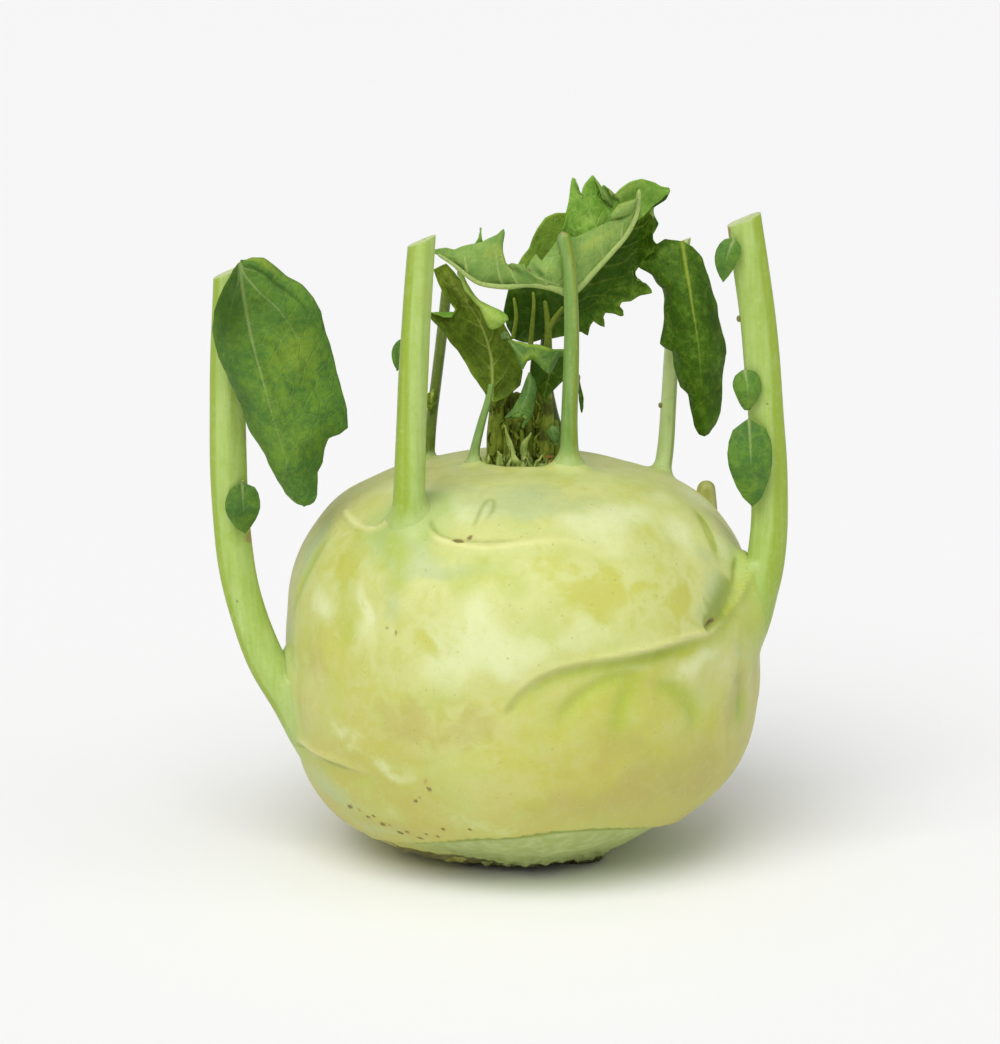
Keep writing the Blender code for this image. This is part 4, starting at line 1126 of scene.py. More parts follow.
def leaf_finish(name, mid, dark, yellow, vein, shown, gloss):
    """Leaf skin with a pale net of veins, darker blisters between them, yellower parts and painted shade."""
    leaf = Finish(name)
    patchy = leaf.noise(9, detail=5, rough=0.62, warp=0.5)
    spotty = leaf.noise(3, detail=4, rough=0.6, warp=0.4)
    fine = leaf.noise(1.1, detail=4, rough=0.65)
    net = leaf.cells(3.0, "DISTANCE_TO_EDGE", leaf.stretched(0.75))
    mesh_veins = 1 - (net + (fine - 0.5) * 0.08).ease(0.0, 0.08)
    small = 1 - leaf.cells(1.0, "DISTANCE_TO_EDGE").ease(0.0, 0.12)
    veins = (leaf.field("vein") + (fine - 0.5) * 0.25 + (patchy - 0.5) * 0.5).ease(0.3, 0.95)
    greener = (patchy + (spotty - 0.5) * 0.7 + (fine - 0.5) * 0.4).ease(0.22, 0.74)
    # Yellower parts; some of the yellow marks behind them are painted light.
    yellower = leaf.field("yellow") + (patchy - 0.5) * 0.9 + (spotty - 0.5) * 0.6 + (fine - 0.5) * 0.4
    # Painted shade from the lobes' shade marks and folds.
    shade = (leaf.field("shade") + (spotty - 0.5) * 0.3).clamp()
    brown = (leaf.field("brown") + (fine - 0.5) * 0.6).ease(0.3, 0.8)
    colour = leaf.coated(
        dark, (greener, mid), (yellower.ease(0.2, 1.1), yellow),
        (((fine - 0.5) + (spotty - 0.5) * 0.8).clamp(), yellow),
        (((0.5 - fine) * 1.2 + (0.5 - spotty) * 0.9).clamp(), dark),
        (mesh_veins * 0.08 + small * 0.06, vein), (veins * shown, vein), (shade * 0.75, LEAF_SHADE),
        (brown * 0.8, CORK),
    )
    height = fine * 0.45 + spotty * 0.5 - mesh_veins * 0.4 - small * 0.15
    roughness = gloss + (fine - 0.5) * 0.2 + veins * 0.1
    return leaf.done(colour, roughness.clamp(), leaf.bump(height, 0.2, 0.9), 0.13, 0.08, (0.8, 1.2, 0.3))


def growth_finish(name, pale, mid, dry):
    """Young growth: fibrous, ragged, pale at the root of each scale and drying brown towards its tip."""
    growth = Finish(name)
    streaks = growth.noise(0.7, detail=4, rough=0.6, vector=growth.stretched(0.12))
    patchy = growth.noise(2.4, detail=4, rough=0.65, warp=0.4)
    fine = growth.noise(0.6, rough=0.65)
    paler = (patchy + (streaks - 0.5) * 0.5).ease(0.35, 0.65)
    dried = (growth.field("dry") + (patchy - 0.5) * 1.2 + (fine - 0.5) * 0.5).ease(0.35, 0.85)
    streak = (streaks - 0.5) * 1.2
    rusty = (growth.field("rust") + (fine - 0.5) * 0.6).ease(0.3, 0.8)
    colour = growth.coated(
        mid, (paler, pale), (dried, dry), (streak.clamp(), pale), ((0 - streak).clamp(), dry), (rusty, RUST)
    )
    return growth.done(colour, 0.55, growth.bump(streaks * 0.8 + fine * 0.3 + patchy * 0.4, 0.25), 0.25)


# ---------------------------------------------------------------- the bulb


def swell(azimuth, height):
    """How far the skin stands out from the turned shape."""
    total = np.zeros(np.broadcast(azimuth, height).shape)
    for where, level, spread, rise, size in SWELLS.values():
        turn = (azimuth - where + 180.0) % 360.0 - 180.0
        total = total + size * np.exp(-((turn / spread) ** 2) - ((height - level) / rise) ** 2)
    return total


def outwards(azimuth, level, rise, power):
    """The direction square to the skin."""
    flat = level ** (power - 1)
    steep = np.abs(rise) ** (power - 1)
    turn = np.radians(azimuth)
    out = np.stack([flat * np.cos(turn), flat * np.sin(turn), np.copysign(steep, rise)], axis=-1)
    return unit(out)


def turned(azimuth, level, rise):
    """Skin points and their outward directions, for places on the unit sphere."""
    power = np.where(rise > 0, CROWN_SQUARENESS, FOOT_SQUARENESS)
    drop = np.where(rise > 0, CROWN_RISE, FOOT_DROP)
    reach = (level**power + np.abs(rise) ** power) ** (-1 / power)
    radius = BULB_RADIUS * reach * level
    height = WIDEST_AT + drop * reach * rise
    turn = np.radians(azimuth)
    out = outwards(azimuth, level, rise, power)
    points = np.stack([radius * np.cos(turn), radius * np.sin(turn), height], axis=-1)
    return points + out * (swell(azimuth, height) * np.minimum(1.0, 2 * level))[..., None], out


def on_skin(azimuth, height):
    """The skin's points at the given azimuths and heights, and their outward directions."""
    azimuth, height = np.asarray(azimuth, float), np.asarray(height, float)
    above = height > WIDEST_AT
    power = np.where(above, CROWN_SQUARENESS, FOOT_SQUARENESS)
    drop = np.where(above, CROWN_RISE, FOOT_DROP)
    rise = np.clip((height - WIDEST_AT) / drop, -0.999, 0.999)
    level = (1 - np.abs(rise) ** power) ** (1 / power)
    return turned(azimuth, level, rise)


def skin_line(places, count=60):
    """A smooth line on the skin through places given as azimuth and height."""
    places = np.array(places, float)
    turned_on = np.unwrap(np.radians(places[:, 0]))
    flat = np.stack([np.degrees(turned_on), places[:, 1], 0 * turned_on], axis=1)
    line = smooth_route(flat, count)
    return spaced(on_skin(line[:, 0], line[:, 1])[0], count)


def spots(points, places):
    """The strongest of several soft oval marks on the skin."""
    total = np.zeros(len(points))
    for azimuth, height, across, tall, lean, strength in places:
        centre, out = on_skin(azimuth, height)
        turn = math.radians(azimuth)
        east = np.array([-math.sin(turn), math.cos(turn), 0.0])
        north = np.cross(out, east)
        lean = math.radians(lean)
        gap = points - centre
        x = gap @ (east * math.cos(lean) + north * math.sin(lean)) / across
        y = gap @ (north * math.cos(lean) - east * math.sin(lean)) / tall
        deep = gap @ out / max(across, tall, 6.0)
        total = np.maximum(total, strength * np.exp(-(x**2) - y**2 - deep**2))
    return total


LINE_REACH = 45.0  # no part of a line lies farther than this from its middle
LIP_REACH = 75.0


def strokes(points, lines):
    """The strongest of several fine lines: 1 on a line, falling evenly to 0 beside it."""
    total = np.zeros(len(points))
    for places, width, strength in lines:
        line = skin_line(places, 40)
        near = np.flatnonzero(np.linalg.norm(points - line.mean(0), axis=1) < LINE_REACH)
        distance, along, _, _ = nearest_on(points[near], line)
        fade = strength * faded(along, 0.2, 0.75, -0.02, 1.02)
        total[near] = np.maximum(total[near], fade * np.clip(1 - distance / (3.6 * width), 0, 1))
    return total


def lip_rise(distance, along, lip):
    """Height of a lip over the skin: crest at 0, shelf above it and drop below it."""
    crest, shelf, drop = (at_thirds(lip[key], along) for key in ("crest", "shelf", "drop"))
    width = lip["width"]
    above = ease(distance, -0.7 * width, 0.7 * width)
    over = shelf * np.exp(-np.maximum(distance, 0) / 6.0)
    under = -drop * np.exp(-np.maximum(-distance - width, 0) / 5.5)
    return faded(along, 0.08, 0.9) * (crest * bell(distance, width) + over * above + under * (1 - above))


def signed_on(points, out, line):
    """Distance to a line on the skin, + above it; the line runs from right to left seen from outside."""
    distance, along, side, ahead = nearest_on(points, line)
    above = -np.einsum("ij,ij->i", np.cross(ahead, side), out)
    return np.copysign(distance, above), along


def raise_lips(points, out):
    """Rise, painted shade below and pale crest colour (partly a painted highlight) that the lips give the
    skin.
    """
    rise, groove_shade, crest = (np.zeros(len(points)) for _ in range(3))
    for lip in LIPS.values():
        line = skin_line(lip["line"])
        near = np.linalg.norm(points - line[:, None].mean(0), axis=1) < LIP_REACH
        distance, along = signed_on(points[near], out[near], line)
        rise[near] += lip_rise(distance, along, lip)
        fade = faded(along, 0.1, 0.85)
        width = lip["width"]
        bare = lip.get("bare", -1.0)
        pale = fade * at_thirds(lip["crest"], along) * ease(along, bare, bare + 0.15)
        crest[near] = np.maximum(crest[near], pale * bell(distance - 0.2, width))
        shade = 0.75 * at_thirds(lip["drop"], along) * bell(distance + 2.2 * width, 1.9 * width)
        groove_shade[near] = np.maximum(groove_shade[near], fade * shade)
    return rise, groove_shade, crest


def press_grooves(points, out, rise, groove_shade):
    """Sinks the grooves into the rise of the skin and lays painted shade along them."""
    for places, depth, width in GROOVES.values():
        line = skin_line(places, 30)
        near = np.linalg.norm(points - line.mean(0), axis=1) < LINE_REACH
        distance, along = signed_on(points[near], out[near], line)
        fade = faded(along, 0.3, 0.7)
        rise[near] -= depth * fade * bell(distance, width)
        groove_shade[near] = np.maximum(groove_shade[near], 0.95 * fade * bell(distance, 1.5 * width))


FOOT_CORNER = -44.0  # azimuth of the corner that the cut leaves
FOOT_FRONT = -84.0


def cut_foot(points, azimuth, root_edge):
    """Flattens the foot where the root was cut off, and gives how bare and corky each point is."""
    to_foot = np.hypot(points[:, 0] - FOOT_CENTRE[0], points[:, 1] - FOOT_CENTRE[1])
    ragged = 0.7 * cloud(points, 4.0, 8) + 0.5 * cloud(points, 1.6, 9)
    corner = bell(azimuth - FOOT_CORNER, 12)
    rim_radius = FOOT_RADIUS + 3.4 * corner + ragged
    under = ease(points[:, 2], 9.0, 3.0)
    lifted = ease(to_foot, rim_radius, rim_radius + 1.6)
    points[:, 2] += under * (FOOT_LIFT * (1 - corner) * lifted - (points[:, 2] - 0.1) * (1 - lifted))
    edge = 1.9 + 0.6 * cloud(points, 4.5, 14) + 0.3 * cloud(points, 1.5, 15)
    edge += 0.9 * bell(azimuth - FOOT_FRONT, 26) - 0.7 * corner
    bare = np.maximum(ease(points[:, 2], edge, edge - 0.5), 1.1 * root_edge)
    points[:, 2] = np.maximum(points[:, 2], 0.12 * (1 + cloud(points, 2.0, 6)))
    return bare


BULB_GRID = (384, 236)


def grow_bulb():
    """The bulb's mesh with its lips, grooves, collar, recess and cut foot, before the stalks join it."""
    shape = bmesh.new()
    bmesh.ops.create_uvsphere(shape, u_segments=BULB_GRID[0], v_segments=BULB_GRID[1], radius=1.0)
    mesh = mesh_of("bulb_body", shape)
    sphere = vectors_of(mesh, "co")
    turn = np.arctan2(sphere[:, 1], sphere[:, 0])
    azimuth = np.degrees(turn - 0.4 * np.cos(turn))
    level = np.hypot(sphere[:, 0], sphere[:, 1])
    points, out = turned(azimuth, level, sphere[:, 2])

    rise, groove_shade, crest = raise_lips(points, out)
    press_grooves(points, out, rise, groove_shade)
    distance, along = signed_on(points, out, skin_line(COLLAR))
    fade = faded(along, 0.12, 0.88)
    below = fade * ease(distance, 0.25, -0.45)
    rise -= COLLAR_STEP * below * (0.25 + 0.75 * ease(distance, -26, -8))
    collar = below * ease(distance, -0.2, -1.2)
    # Painted shade just under the collar's overhanging edge, laid in with the crease lines.
    overhang_shade = 1.2 * fade * np.clip(1 - np.abs(distance + 1.9) / 2.6, 0, 1)
    root_edge = strokes(points, ROOT_EDGE)
    rise += root_edge * (0.5 + 0.6 * cloud(points, 2.6, 12))
    rise += 0.35 * cloud(points, 22, 3) + 0.12 * cloud(points, 7, 4) * (1 - collar)
    rise += 0.25 * np.cos(np.radians(azimuth) * 5 + 1.2) * ease(points[:, 2], 30, 8)
    rise += 0.3 * ease(points[:, 2], 4.5, 2.0) * cloud(points, 1.4, 16)
    points = points + out * rise[:, None]

    to_axis = np.hypot(points[:, 0] - CROWN_CENTRE[0], points[:, 1] - CROWN_CENTRE[1])
    crown = points[:, 2] > WIDEST_AT
    points[:, 2] -= RECESS_DEPTH * ease(to_axis, RECESS_RADIUS, RECESS_RADIUS * 0.55) * crown
    points[:, 2] += 0.5 * bell(to_axis - RECESS_RADIUS, 2.0) * crown
    bare = cut_foot(points, azimuth, root_edge)
    move_to(mesh, points)

    wandered = points + np.stack(
        [1.7 * cloud(points, 11, 50 + axis) + 0.9 * cloud(points, 4, 60 + axis) for axis in range(3)], 1
    )
    marked = {
        "groove_shade": groove_shade,
        "crest": crest,
        "collar": collar,
        "cut": bare,
        "warm": ease(points[:, 2] + 5 * cloud(points, 25, 11), 62, 18),
        # Painted shade in the crown's recess among the stems.
        "recess": ease(to_axis, RECESS_RADIUS * 0.98, RECESS_RADIUS * 0.8) * crown,
        "crease_shade_and_marks": np.maximum(strokes(points, CREASES), overhang_shade),
        "rim": strokes(points, RIMS),
        "fibre": strokes(points, FIBRES),
        "olive": spots(wandered, OLIVE),
        "bloom_and_highlight": spots(wandered, BLOOM_AND_HIGHLIGHT),
        "cold": spots(wandered, COLD),
        "tan": spots(wandered, TAN),
        "scar": spots(points, SCARS),
    }
    for name, values in marked.items():
        paint(mesh, name, values)
    return mesh


# ---------------------------------------------------------------- stalks


def fillet(reach, gap):
    """How far one surface stands out to meet another that is gap away."""
    return (math.sqrt(reach) - np.sqrt(np.clip(gap, 0.0, reach))) ** 2


OVERLAP_GAP = 0.14  # where two pieces of skin share a fillet, the covered one lies this much lower


PLAIN_SIDES = ((-70, 0.95), (0, 0.95), (70, 0.95), (180, 0.95))
CORNER_SHARPNESS = 12


class Stalk:
    """A stalk's centre line, section and place, for the mesh and for measures around it."""

    def __init__(self, name):
        self.name = name
        self.facts = STALKS[name]
        self.route = smooth_route(self.facts["route"], 90)
        self.reach = self.facts["fillet"]
        self.cut_at = self.facts.get("cut_at")

    def radius(self, along):
        root, middle, tip = self.facts["radii"]
        swelled = middle + (root - middle) * np.maximum(0.0, 1 - 3 * along) ** 2
        return swelled + (tip - middle) * along

    def facing(self, ahead):
        """The directions to the stalk's front and to its right."""
        front = unit(np.array([0.0, -1.0, 0.0]) + ahead * ahead[..., 1:2])
        return front, np.cross(ahead, front)

    def section(self, bearing, along):
        """The share of the radius at a bearing: a rounded polygon that turns round at the root."""
        total = 0.0
        for side, share in self.facts.get("sides", PLAIN_SIDES):
            flat = np.maximum(np.cos(bearing - math.radians(side)) / share, 0.0)
            total = total + flat**CORNER_SHARPNESS
        faceted = np.minimum(total ** (-1 / CORNER_SHARPNESS), 1.06)
        return 1 + 0.55 * (faceted - 1) * ease(along, 0.12, 0.4)

    def gap(self, points):
        """Distance from the stalk's surface, ignoring its flat sides."""
        distance, along, _, _ = nearest_on(points, self.route[::3])
        return distance - self.radius(along)


def draw_up(reach, most, rounds, gap_at):
    """How far a skin stands out to meet another, where gap_at gives the gap left after each try."""
    rise = 0.0
    for _ in range(rounds):
        rise = 0.5 * rise + 0.5 * np.minimum(fillet(reach, gap_at(rise)), most * reach)
    return rise


def join_stalks(mesh, stalks):
    """Draws the bulb's skin up round each stalk in a smooth fillet."""
    points, out = points_of(mesh), normals_of(mesh)
    lift = np.zeros(len(points))
    seat = np.zeros(len(points))
    for stalk in stalks:
        reach = stalk.reach
        halo = stalk.facts.get("halo", 2.2) + 1.2 * reach
        near = np.flatnonzero(stalk.gap(points) < max(halo, 1.7 * reach))
        at, away = points[near], out[near]
        rise = draw_up(reach, 0.36, 5, lambda up: stalk.gap(at + away * np.reshape(up, (-1, 1))))
        covered = ease(rise, 0.25 * reach, 0.32 * reach)
        lift[near] = np.maximum(lift[near], rise - OVERLAP_GAP * covered)
        tint = stalk.facts.get("tint", 0.6)
        seat[near] = np.maximum(seat[near], tint * ease(stalk.gap(at), halo, 0.2))
    move_to(mesh, points + out * lift[:, None])
    paint(mesh, "seat", seat * (1 + 0.35 * cloud(points * (1, 1, 0.3), 3.0, 71)))


def skin_tree(mesh):
    points = [tuple(point) for point in points_of(mesh)]
    faces = [tuple(face.vertices) for face in mesh.polygons]
    return BVHTree.FromPolygons(points, faces)


def skin_gap(tree, points):
    """Signed distance from the bulb's skin, + outside."""
    gaps = np.empty(len(points))
    for index, point in enumerate(points):
        nearest, normal, _, distance = tree.find_nearest(Vector(point))
        gaps[index] = math.copysign(distance, (Vector(point) - nearest).dot(normal))
    return gaps


STALK_GRID = (150, 64)
THIN_STALK_GRID = (90, 40)


def grow_stalk(stalk, tree, finishes):
    """A stalk's piece: faceted skin, a fillet at its base and a slanted cut or a closed tip."""
    rows, sides = STALK_GRID if stalk.cut_at else THIN_STALK_GRID
    shape = bmesh.new()
    made, along, around = lay_grid(shape, rows, sides)
    bearing = around * math.pi
    route, centre, ahead = follow(stalk.facts["route"], along, rows)
    front, right = stalk.facing(ahead)
    direction = front * np.cos(bearing)[:, None] + right * np.sin(bearing)[:, None]
    radius = stalk.radius(along) * stalk.section(bearing, along)
    radius = radius * (1 + 0.008 * np.sin(centre[:, 2] * 0.31) + 0.007 * np.sin(centre[:, 2] * 0.17 + 1))
    if not stalk.cut_at:
        length = np.linalg.norm(np.diff(route, axis=0), axis=1).sum()
        radius = radius * np.sqrt(1 - (1 - np.clip((1 - along) * length / radius, 0, 1)) ** 2)

    low = np.flatnonzero(np.linalg.norm(centre - route[0], axis=1) < 12 + stalk.reach * 2.2)
    at, away, wide = centre[low], direction[low], radius[low]
    grown = draw_up(
        stalk.reach, 0.42, 6, lambda up: np.maximum(skin_gap(tree, at + away * (wide + up)[:, None]), 0.0)
    )
    radius[low] += grown - 2 * OVERLAP_GAP * ease(grown, 0.25 * stalk.reach, 0.34 * stalk.reach)
    place(made, centre + direction * radius[:, None])

    bmesh.ops.remove_doubles(shape, verts=shape.verts, dist=1e-7)
    rim = [edge for edge in shape.edges if edge.is_boundary]
    bmesh.ops.contextual_create(shape, geom=rim)
    bmesh.ops.holes_fill(shape, edges=shape.edges)
    if stalk.cut_at:
        slice_top(shape, stalk)
    for point, size in stalk.facts.get("buds", ()):
        where = Matrix.Translation(Vector(point) * MM) @ Matrix.Diagonal((1.0, 0.8, 1.3, 1.0))
        bmesh.ops.create_icosphere(shape, subdivisions=3, radius=size * MM, matrix=where)
    bmesh.ops.recalc_face_normals(shape, faces=shape.faces)
    skin = mesh_of(stalk.name + "_skin", shape)
    settle(stalk.name + "_skin", skin, finishes, stalk.name)
    paint_stalk(skin, stalk, tree)


# Steps of the cut from its rim inwards: share of the width and how far each sinks.
PITH_STEPS = ((0.90, 0.0), (0.86, 0.22), (0.60, 0.08))


def slice_top(shape, stalk):
    """The knife's slanted cut, with a thin raised rim and a slightly sunken pith."""
    at = min(stalk.route, key=lambda point: abs(point[2] - stalk.cut_at))
    point = Vector((at[0], at[1], stalk.cut_at)) * MM
    everything = shape.verts[:] + shape.edges[:] + shape.faces[:]
    bmesh.ops.bisect_plane(
        shape, geom=everything, dist=1e-7, plane_co=point, plane_no=CUT_LEAN, clear_outer=True
    )
    rim = [edge for edge in shape.edges if edge.is_boundary]
    cap = bmesh.ops.contextual_create(shape, geom=rim)["faces"]
    for face in cap:
        face.material_index = 1
    for shrink, sink in PITH_STEPS:
        cap = bmesh.ops.extrude_discrete_faces(shape, faces=cap)["faces"]
        rim = list({vertex for face in cap for vertex in face.verts})
        middle = sum((vertex.co for vertex in rim), Vector()) / len(rim)
        bmesh.ops.scale(shape, vec=Vector((shrink,) * 3), space=Matrix.Translation(-middle), verts=rim)
        bmesh.ops.translate(shape, vec=CUT_LEAN * (-sink * MM), verts=rim)
    bmesh.ops.poke(shape, faces=cap)


FAR = 99.0


def paint_stalk(mesh, stalk, tree):
    """Marks the stalk's side that takes painted shade, its seat on the bulb, its bud scars and its dry
    places.
    """
    points = points_of(mesh)
    _, along, side, ahead = nearest_on(points, stalk.route)
    front, right = stalk.facing(ahead)
    bearing = np.degrees(np.arctan2(np.einsum("ij,ij->i", side, right), np.einsum("ij,ij->i", side, front)))
    middle, half = stalk.facts["dark"]
    turn = np.abs((bearing - middle + 180) % 360 - 180)
    half = half * (1 + stalk.facts.get("spreads", 0.0) * ease(along, 0.75, 0.2))
    # The "dark" field: where the stalk takes painted shade down one side.
    paint(mesh, "dark", ease(turn, half * 1.45, half * 0.5))
    gap = np.full(len(points), FAR)
    low = np.flatnonzero(along < 0.6)
    gap[low] = skin_gap(tree, points[low])
    paint(mesh, "seat", stalk.facts.get("seat", 1.0) * ease(gap, stalk.reach * 1.2, stalk.reach * 0.1))
    for name, key in (("scar", "buds"), ("dry", "dry")):
        total = np.zeros(len(points))
        for point, size in stalk.facts.get(key, ()):
            distance = np.linalg.norm(points - point, axis=1)
            total = np.maximum(total, ease(distance, size * 1.6, size * 0.8))
        paint(mesh, name, total)


# ---------------------------------------------------------------- leaves


def margin(points, rows):
    """A margin with its teeth, and the same margin with the teeth smoothed away, row by row."""
    sharp = spaced(np.array([(x, 0.0, z) for x, z in points], float), 400)
    smooth = sharp.copy()
    for _ in range(160):
        smooth[1:-1] = (smooth[:-2] + 2 * smooth[1:-1] + smooth[2:]) / 4
    toothed, plain = (np.linalg.norm(np.diff(line, axis=0), axis=1) for line in (sharp, smooth))
    lengths = np.concatenate([[0.0], np.cumsum(plain + 0.2 * toothed)])
    where = np.linspace(0, lengths[-1], rows + 1)
    return [
        np.stack([np.interp(where, lengths, line[:, axis]) for axis in range(3)], axis=1)
        for line in (sharp, smooth)
    ]


class Lobe:
    """One stretch of leaf blade between its margins, and the places on it."""

    def __init__(self, facts, rows):
        self.facts = facts
        self.rows = rows
        self.left = margin(facts["left"], rows)
        self.right = margin(facts["right"], rows)
        if "rib" in facts:
            self.rib = smooth_route([(x, 0.0, z) for x, z in facts["rib"]], rows + 1)
        else:
            self.rib = (self.left[1] + self.right[1]) / 2
        self.join_ends()

    def join_ends(self):
        """Brings the ends of the rib to the ends of the margins."""
        share = np.linspace(0, 1, self.rows + 1)[:, None]
        start = (self.left[0][0] + self.right[0][0]) / 2 - self.rib[0]
        end = (self.left[0][-1] + self.right[0][-1]) / 2 - self.rib[-1]
        self.rib = self.rib + start * (1 - share) ** 4 + end * share**4

    def at(self, along, across):
        """The points at places along the rib (0 to 1) and across it (-1 left, 1 right)."""
        along, across = np.asarray(along), np.asarray(across)
        row = along * self.rows
        low = np.clip(np.floor(row).astype(int), 0, self.rows - 1)
        share = (row - low)[:, None]
        reach = np.abs(across)[:, None]
        rib, left, left_smooth, right, right_smooth = (
            line[low] * (1 - share) + line[low + 1] * share
            for line in (self.rib, *self.left, *self.right)
        )
        is_left = (across < 0)[:, None]
        smooth = np.where(is_left, left_smooth, right_smooth)
        sharp = np.where(is_left, left, right)
        points = rib + (smooth - rib) * reach + (sharp - smooth) * reach**4
        axis, *depth = self.facts["depth"]
        key = points[:, 0 if axis == "x" else 2]
        lift = self.facts["arch"] * np.sin(math.pi * np.clip(along, 0, 1)) ** 0.7 * (1 - reach[:, 0] ** 2)
        swing, waves = self.facts["ruffle"]
        side = np.where(across < 0, 0.0, 1.7)
        wave = swing * reach[:, 0] ** 2 * np.sin(2 * math.pi * waves * along + side)
        points[:, 1] = np.interp(key, *zip(*depth)) - (lift + wave)
        return points

    def line(self, places):
        """A line on the blade through places along it and across it."""
        path = spaced(np.array([(along, across, 0.0) for along, across in places]), 30)
        return self.at(path[:, 0], path[:, 1])

    def veins(self):
        """The lines of the veins, with their half widths at start and end."""
        facts = self.facts
        count = facts.get("veins", 0)
        faint = facts.get("faint", 1.0)
        lines = [(self.line(places), 0.33, 0.12) for places in facts.get("long_veins", ())]
        if count or "rib" in facts:
            share = np.linspace(0.0, facts.get("rib_ends", 0.95), 50)
            lines.append((self.at(share, 0.001 * share), 0.40, 0.10))
        for start in np.linspace(0.06, 0.82, count):
            lean = facts["lean"] * (1 - 0.4 * start)
            share = np.linspace(0, 0.92, 24)
            fork = np.linspace(0.45, 0.95, 12)
            for side in (-1, 1):
                root = start + side * 0.02
                path = root + lean * share**1.25
                forked = root + lean * 0.45**1.25 + (fork - 0.45) * lean * 2.1
                for where, out, wide, thin in ((path, share, 0.24, 0.07), (forked, fork, 0.13, 0.05)):
                    keep = where < 0.99
                    if keep.sum() > 2:
                        lines.append((self.at(where[keep], side * out[keep]), wide * faint, thin * faint))
        return lines

    def vein_relief(self, points):
        """How much of a vein each point shows, and how far the veins stand up there."""
        vein = np.zeros(len(points))
        depth = np.zeros(len(points))
        for line, start, end in self.veins():
            distance, share, _, _ = nearest_on(points, line)
            width = start + (end - start) * share
            reach = np.maximum(2.4 * width, 0.45)
            vein = np.maximum(vein, np.clip(1 - distance / reach, 0, 1) * (0.25 + 2.2 * width).clip(0, 1))
            depth = np.maximum(depth, width * bell(distance, 1.6 * width))
        return vein, depth

    def fold_relief(self, points):
        """How deep each point lies in one of the blade's soft folds, 0 to 1."""
        fold = np.zeros(len(points))
        for places, width, strength in self.facts.get("folds", ()):
            distance, share, _, _ = nearest_on(points, self.line(places))
            fade = strength * faded(share, 0.2, 0.7, -0.02, 1.02)
            fold = np.maximum(fold, fade * bell(distance, width))
        return fold


def marks(along, across, places):
    """The strongest of several soft oval marks on a lobe."""
    total = np.zeros(len(along))
    for u, t, long, wide, strength in places:
        total = np.maximum(total, strength * bell(along - u, long) * bell(across - t, wide))
    return total


LEAF_FIELDS = ("vein", "yellow", "shade", "brown")


def add_lobe(shape, facts, grid, seed, under=False):
    """Lays one lobe into a leaf's shape: its grid, veins, folds and marks."""
    lobe = Lobe(facts, grid[0])
    made, along, across = lay_grid(shape, *grid)
    points = lobe.at(along, across)
    vein, depth = lobe.vein_relief(points)
    fold = lobe.fold_relief(points)
    relief = (0.9 if under else -0.7) * depth - 0.5 * fold
    relief = (relief + 0.25 * cloud(points, 7, seed) + 0.10 * cloud(points, 2.4, seed + 1)) * MM
    relief *= faded(along, 0.05, 0.95)
    place(made, points)
    for face in face_towards(shape, made, Vector((0, -1, 0))):
        face.material_index = 2 if facts.get("turned") else 0
    for vertex in made:
        vertex.normal_update()
    yellow, shade, brown = (marks(along, across, facts.get(field, ())) for field in LEAF_FIELDS[1:])
    # The folds are painted as shade as well as pressed into the blade.
    fields = zip(vein, yellow, np.maximum(shade, fold), brown)
    layers = [shape.verts.layers.float[name] for name in LEAF_FIELDS]
    normals = [vertex.normal.copy() for vertex in made]
    for vertex, normal, lift, values in zip(made, normals, relief, fields):
        vertex.co += normal * lift
        for layer, value in zip(layers, values):
            vertex[layer] = value


def blade_piece(name, shape, finishes, replaced, thickness):
    """The piece of a thin sheet, thickened towards its back."""
    made = settle(name, mesh_of(name, shape), finishes, replaced)
    thicken = made.modifiers.new("blade_thickness", "SOLIDIFY")
    thicken.thickness = thickness * MM
    thicken.offset = -1.0
    thicken.material_offset = 1


def fields_in(shape, names):
    """Gives a shape a number for each name on its points, and the layers that hold them."""
    return [shape.verts.layers.float.new(name) for name in names]


def leaf_grid(size, density, low, high):
    """Rows and columns for a blade of a given size; the columns are even, so that one is the rib."""
    rows, columns = (int(np.clip(size * d, a, b)) for d, a, b in zip(density, low, high))
    return rows, columns // 2 * 2


STRAND_VEIN = 0.75
LEAF_THICKNESS = 0.32
LEAFLET_THICKNESS = 0.35
SCALE_THICKNESS = 0.22


def grow_leaf(name, finishes, seed):
    """A leaf's piece: the ribs that stand free of its blade, then each of its lobes."""
    leaf = LEAVES[name]
    front, back = leaf["finishes"]
    shape = bmesh.new()
    vein, *_ = fields_in(shape, LEAF_FIELDS)
    for route, radii in leaf.get("strands", ()):
        add_strand(shape, route, radii, (60, 16))
    for vertex in shape.verts:
        vertex[vein] = STRAND_VEIN
    bmesh.ops.recalc_face_normals(shape, faces=shape.faces)
    for index, lobe in enumerate(leaf["lobes"]):
        span = np.ptp(np.array(LOBES[lobe]["left"]), axis=0).max() + 4
        grid = leaf_grid(span, (3.0, 1.8), (24, 16), (170, 84))
        add_lobe(shape, LOBES[lobe], grid, seed + 10 * index, front in ("leaf_under", "leaf_olive"))
    palette = [finishes[kind] for kind in (front, back, back, front)]
    blade_piece(name + "_blade", shape, palette, name, LEAF_THICKNESS)


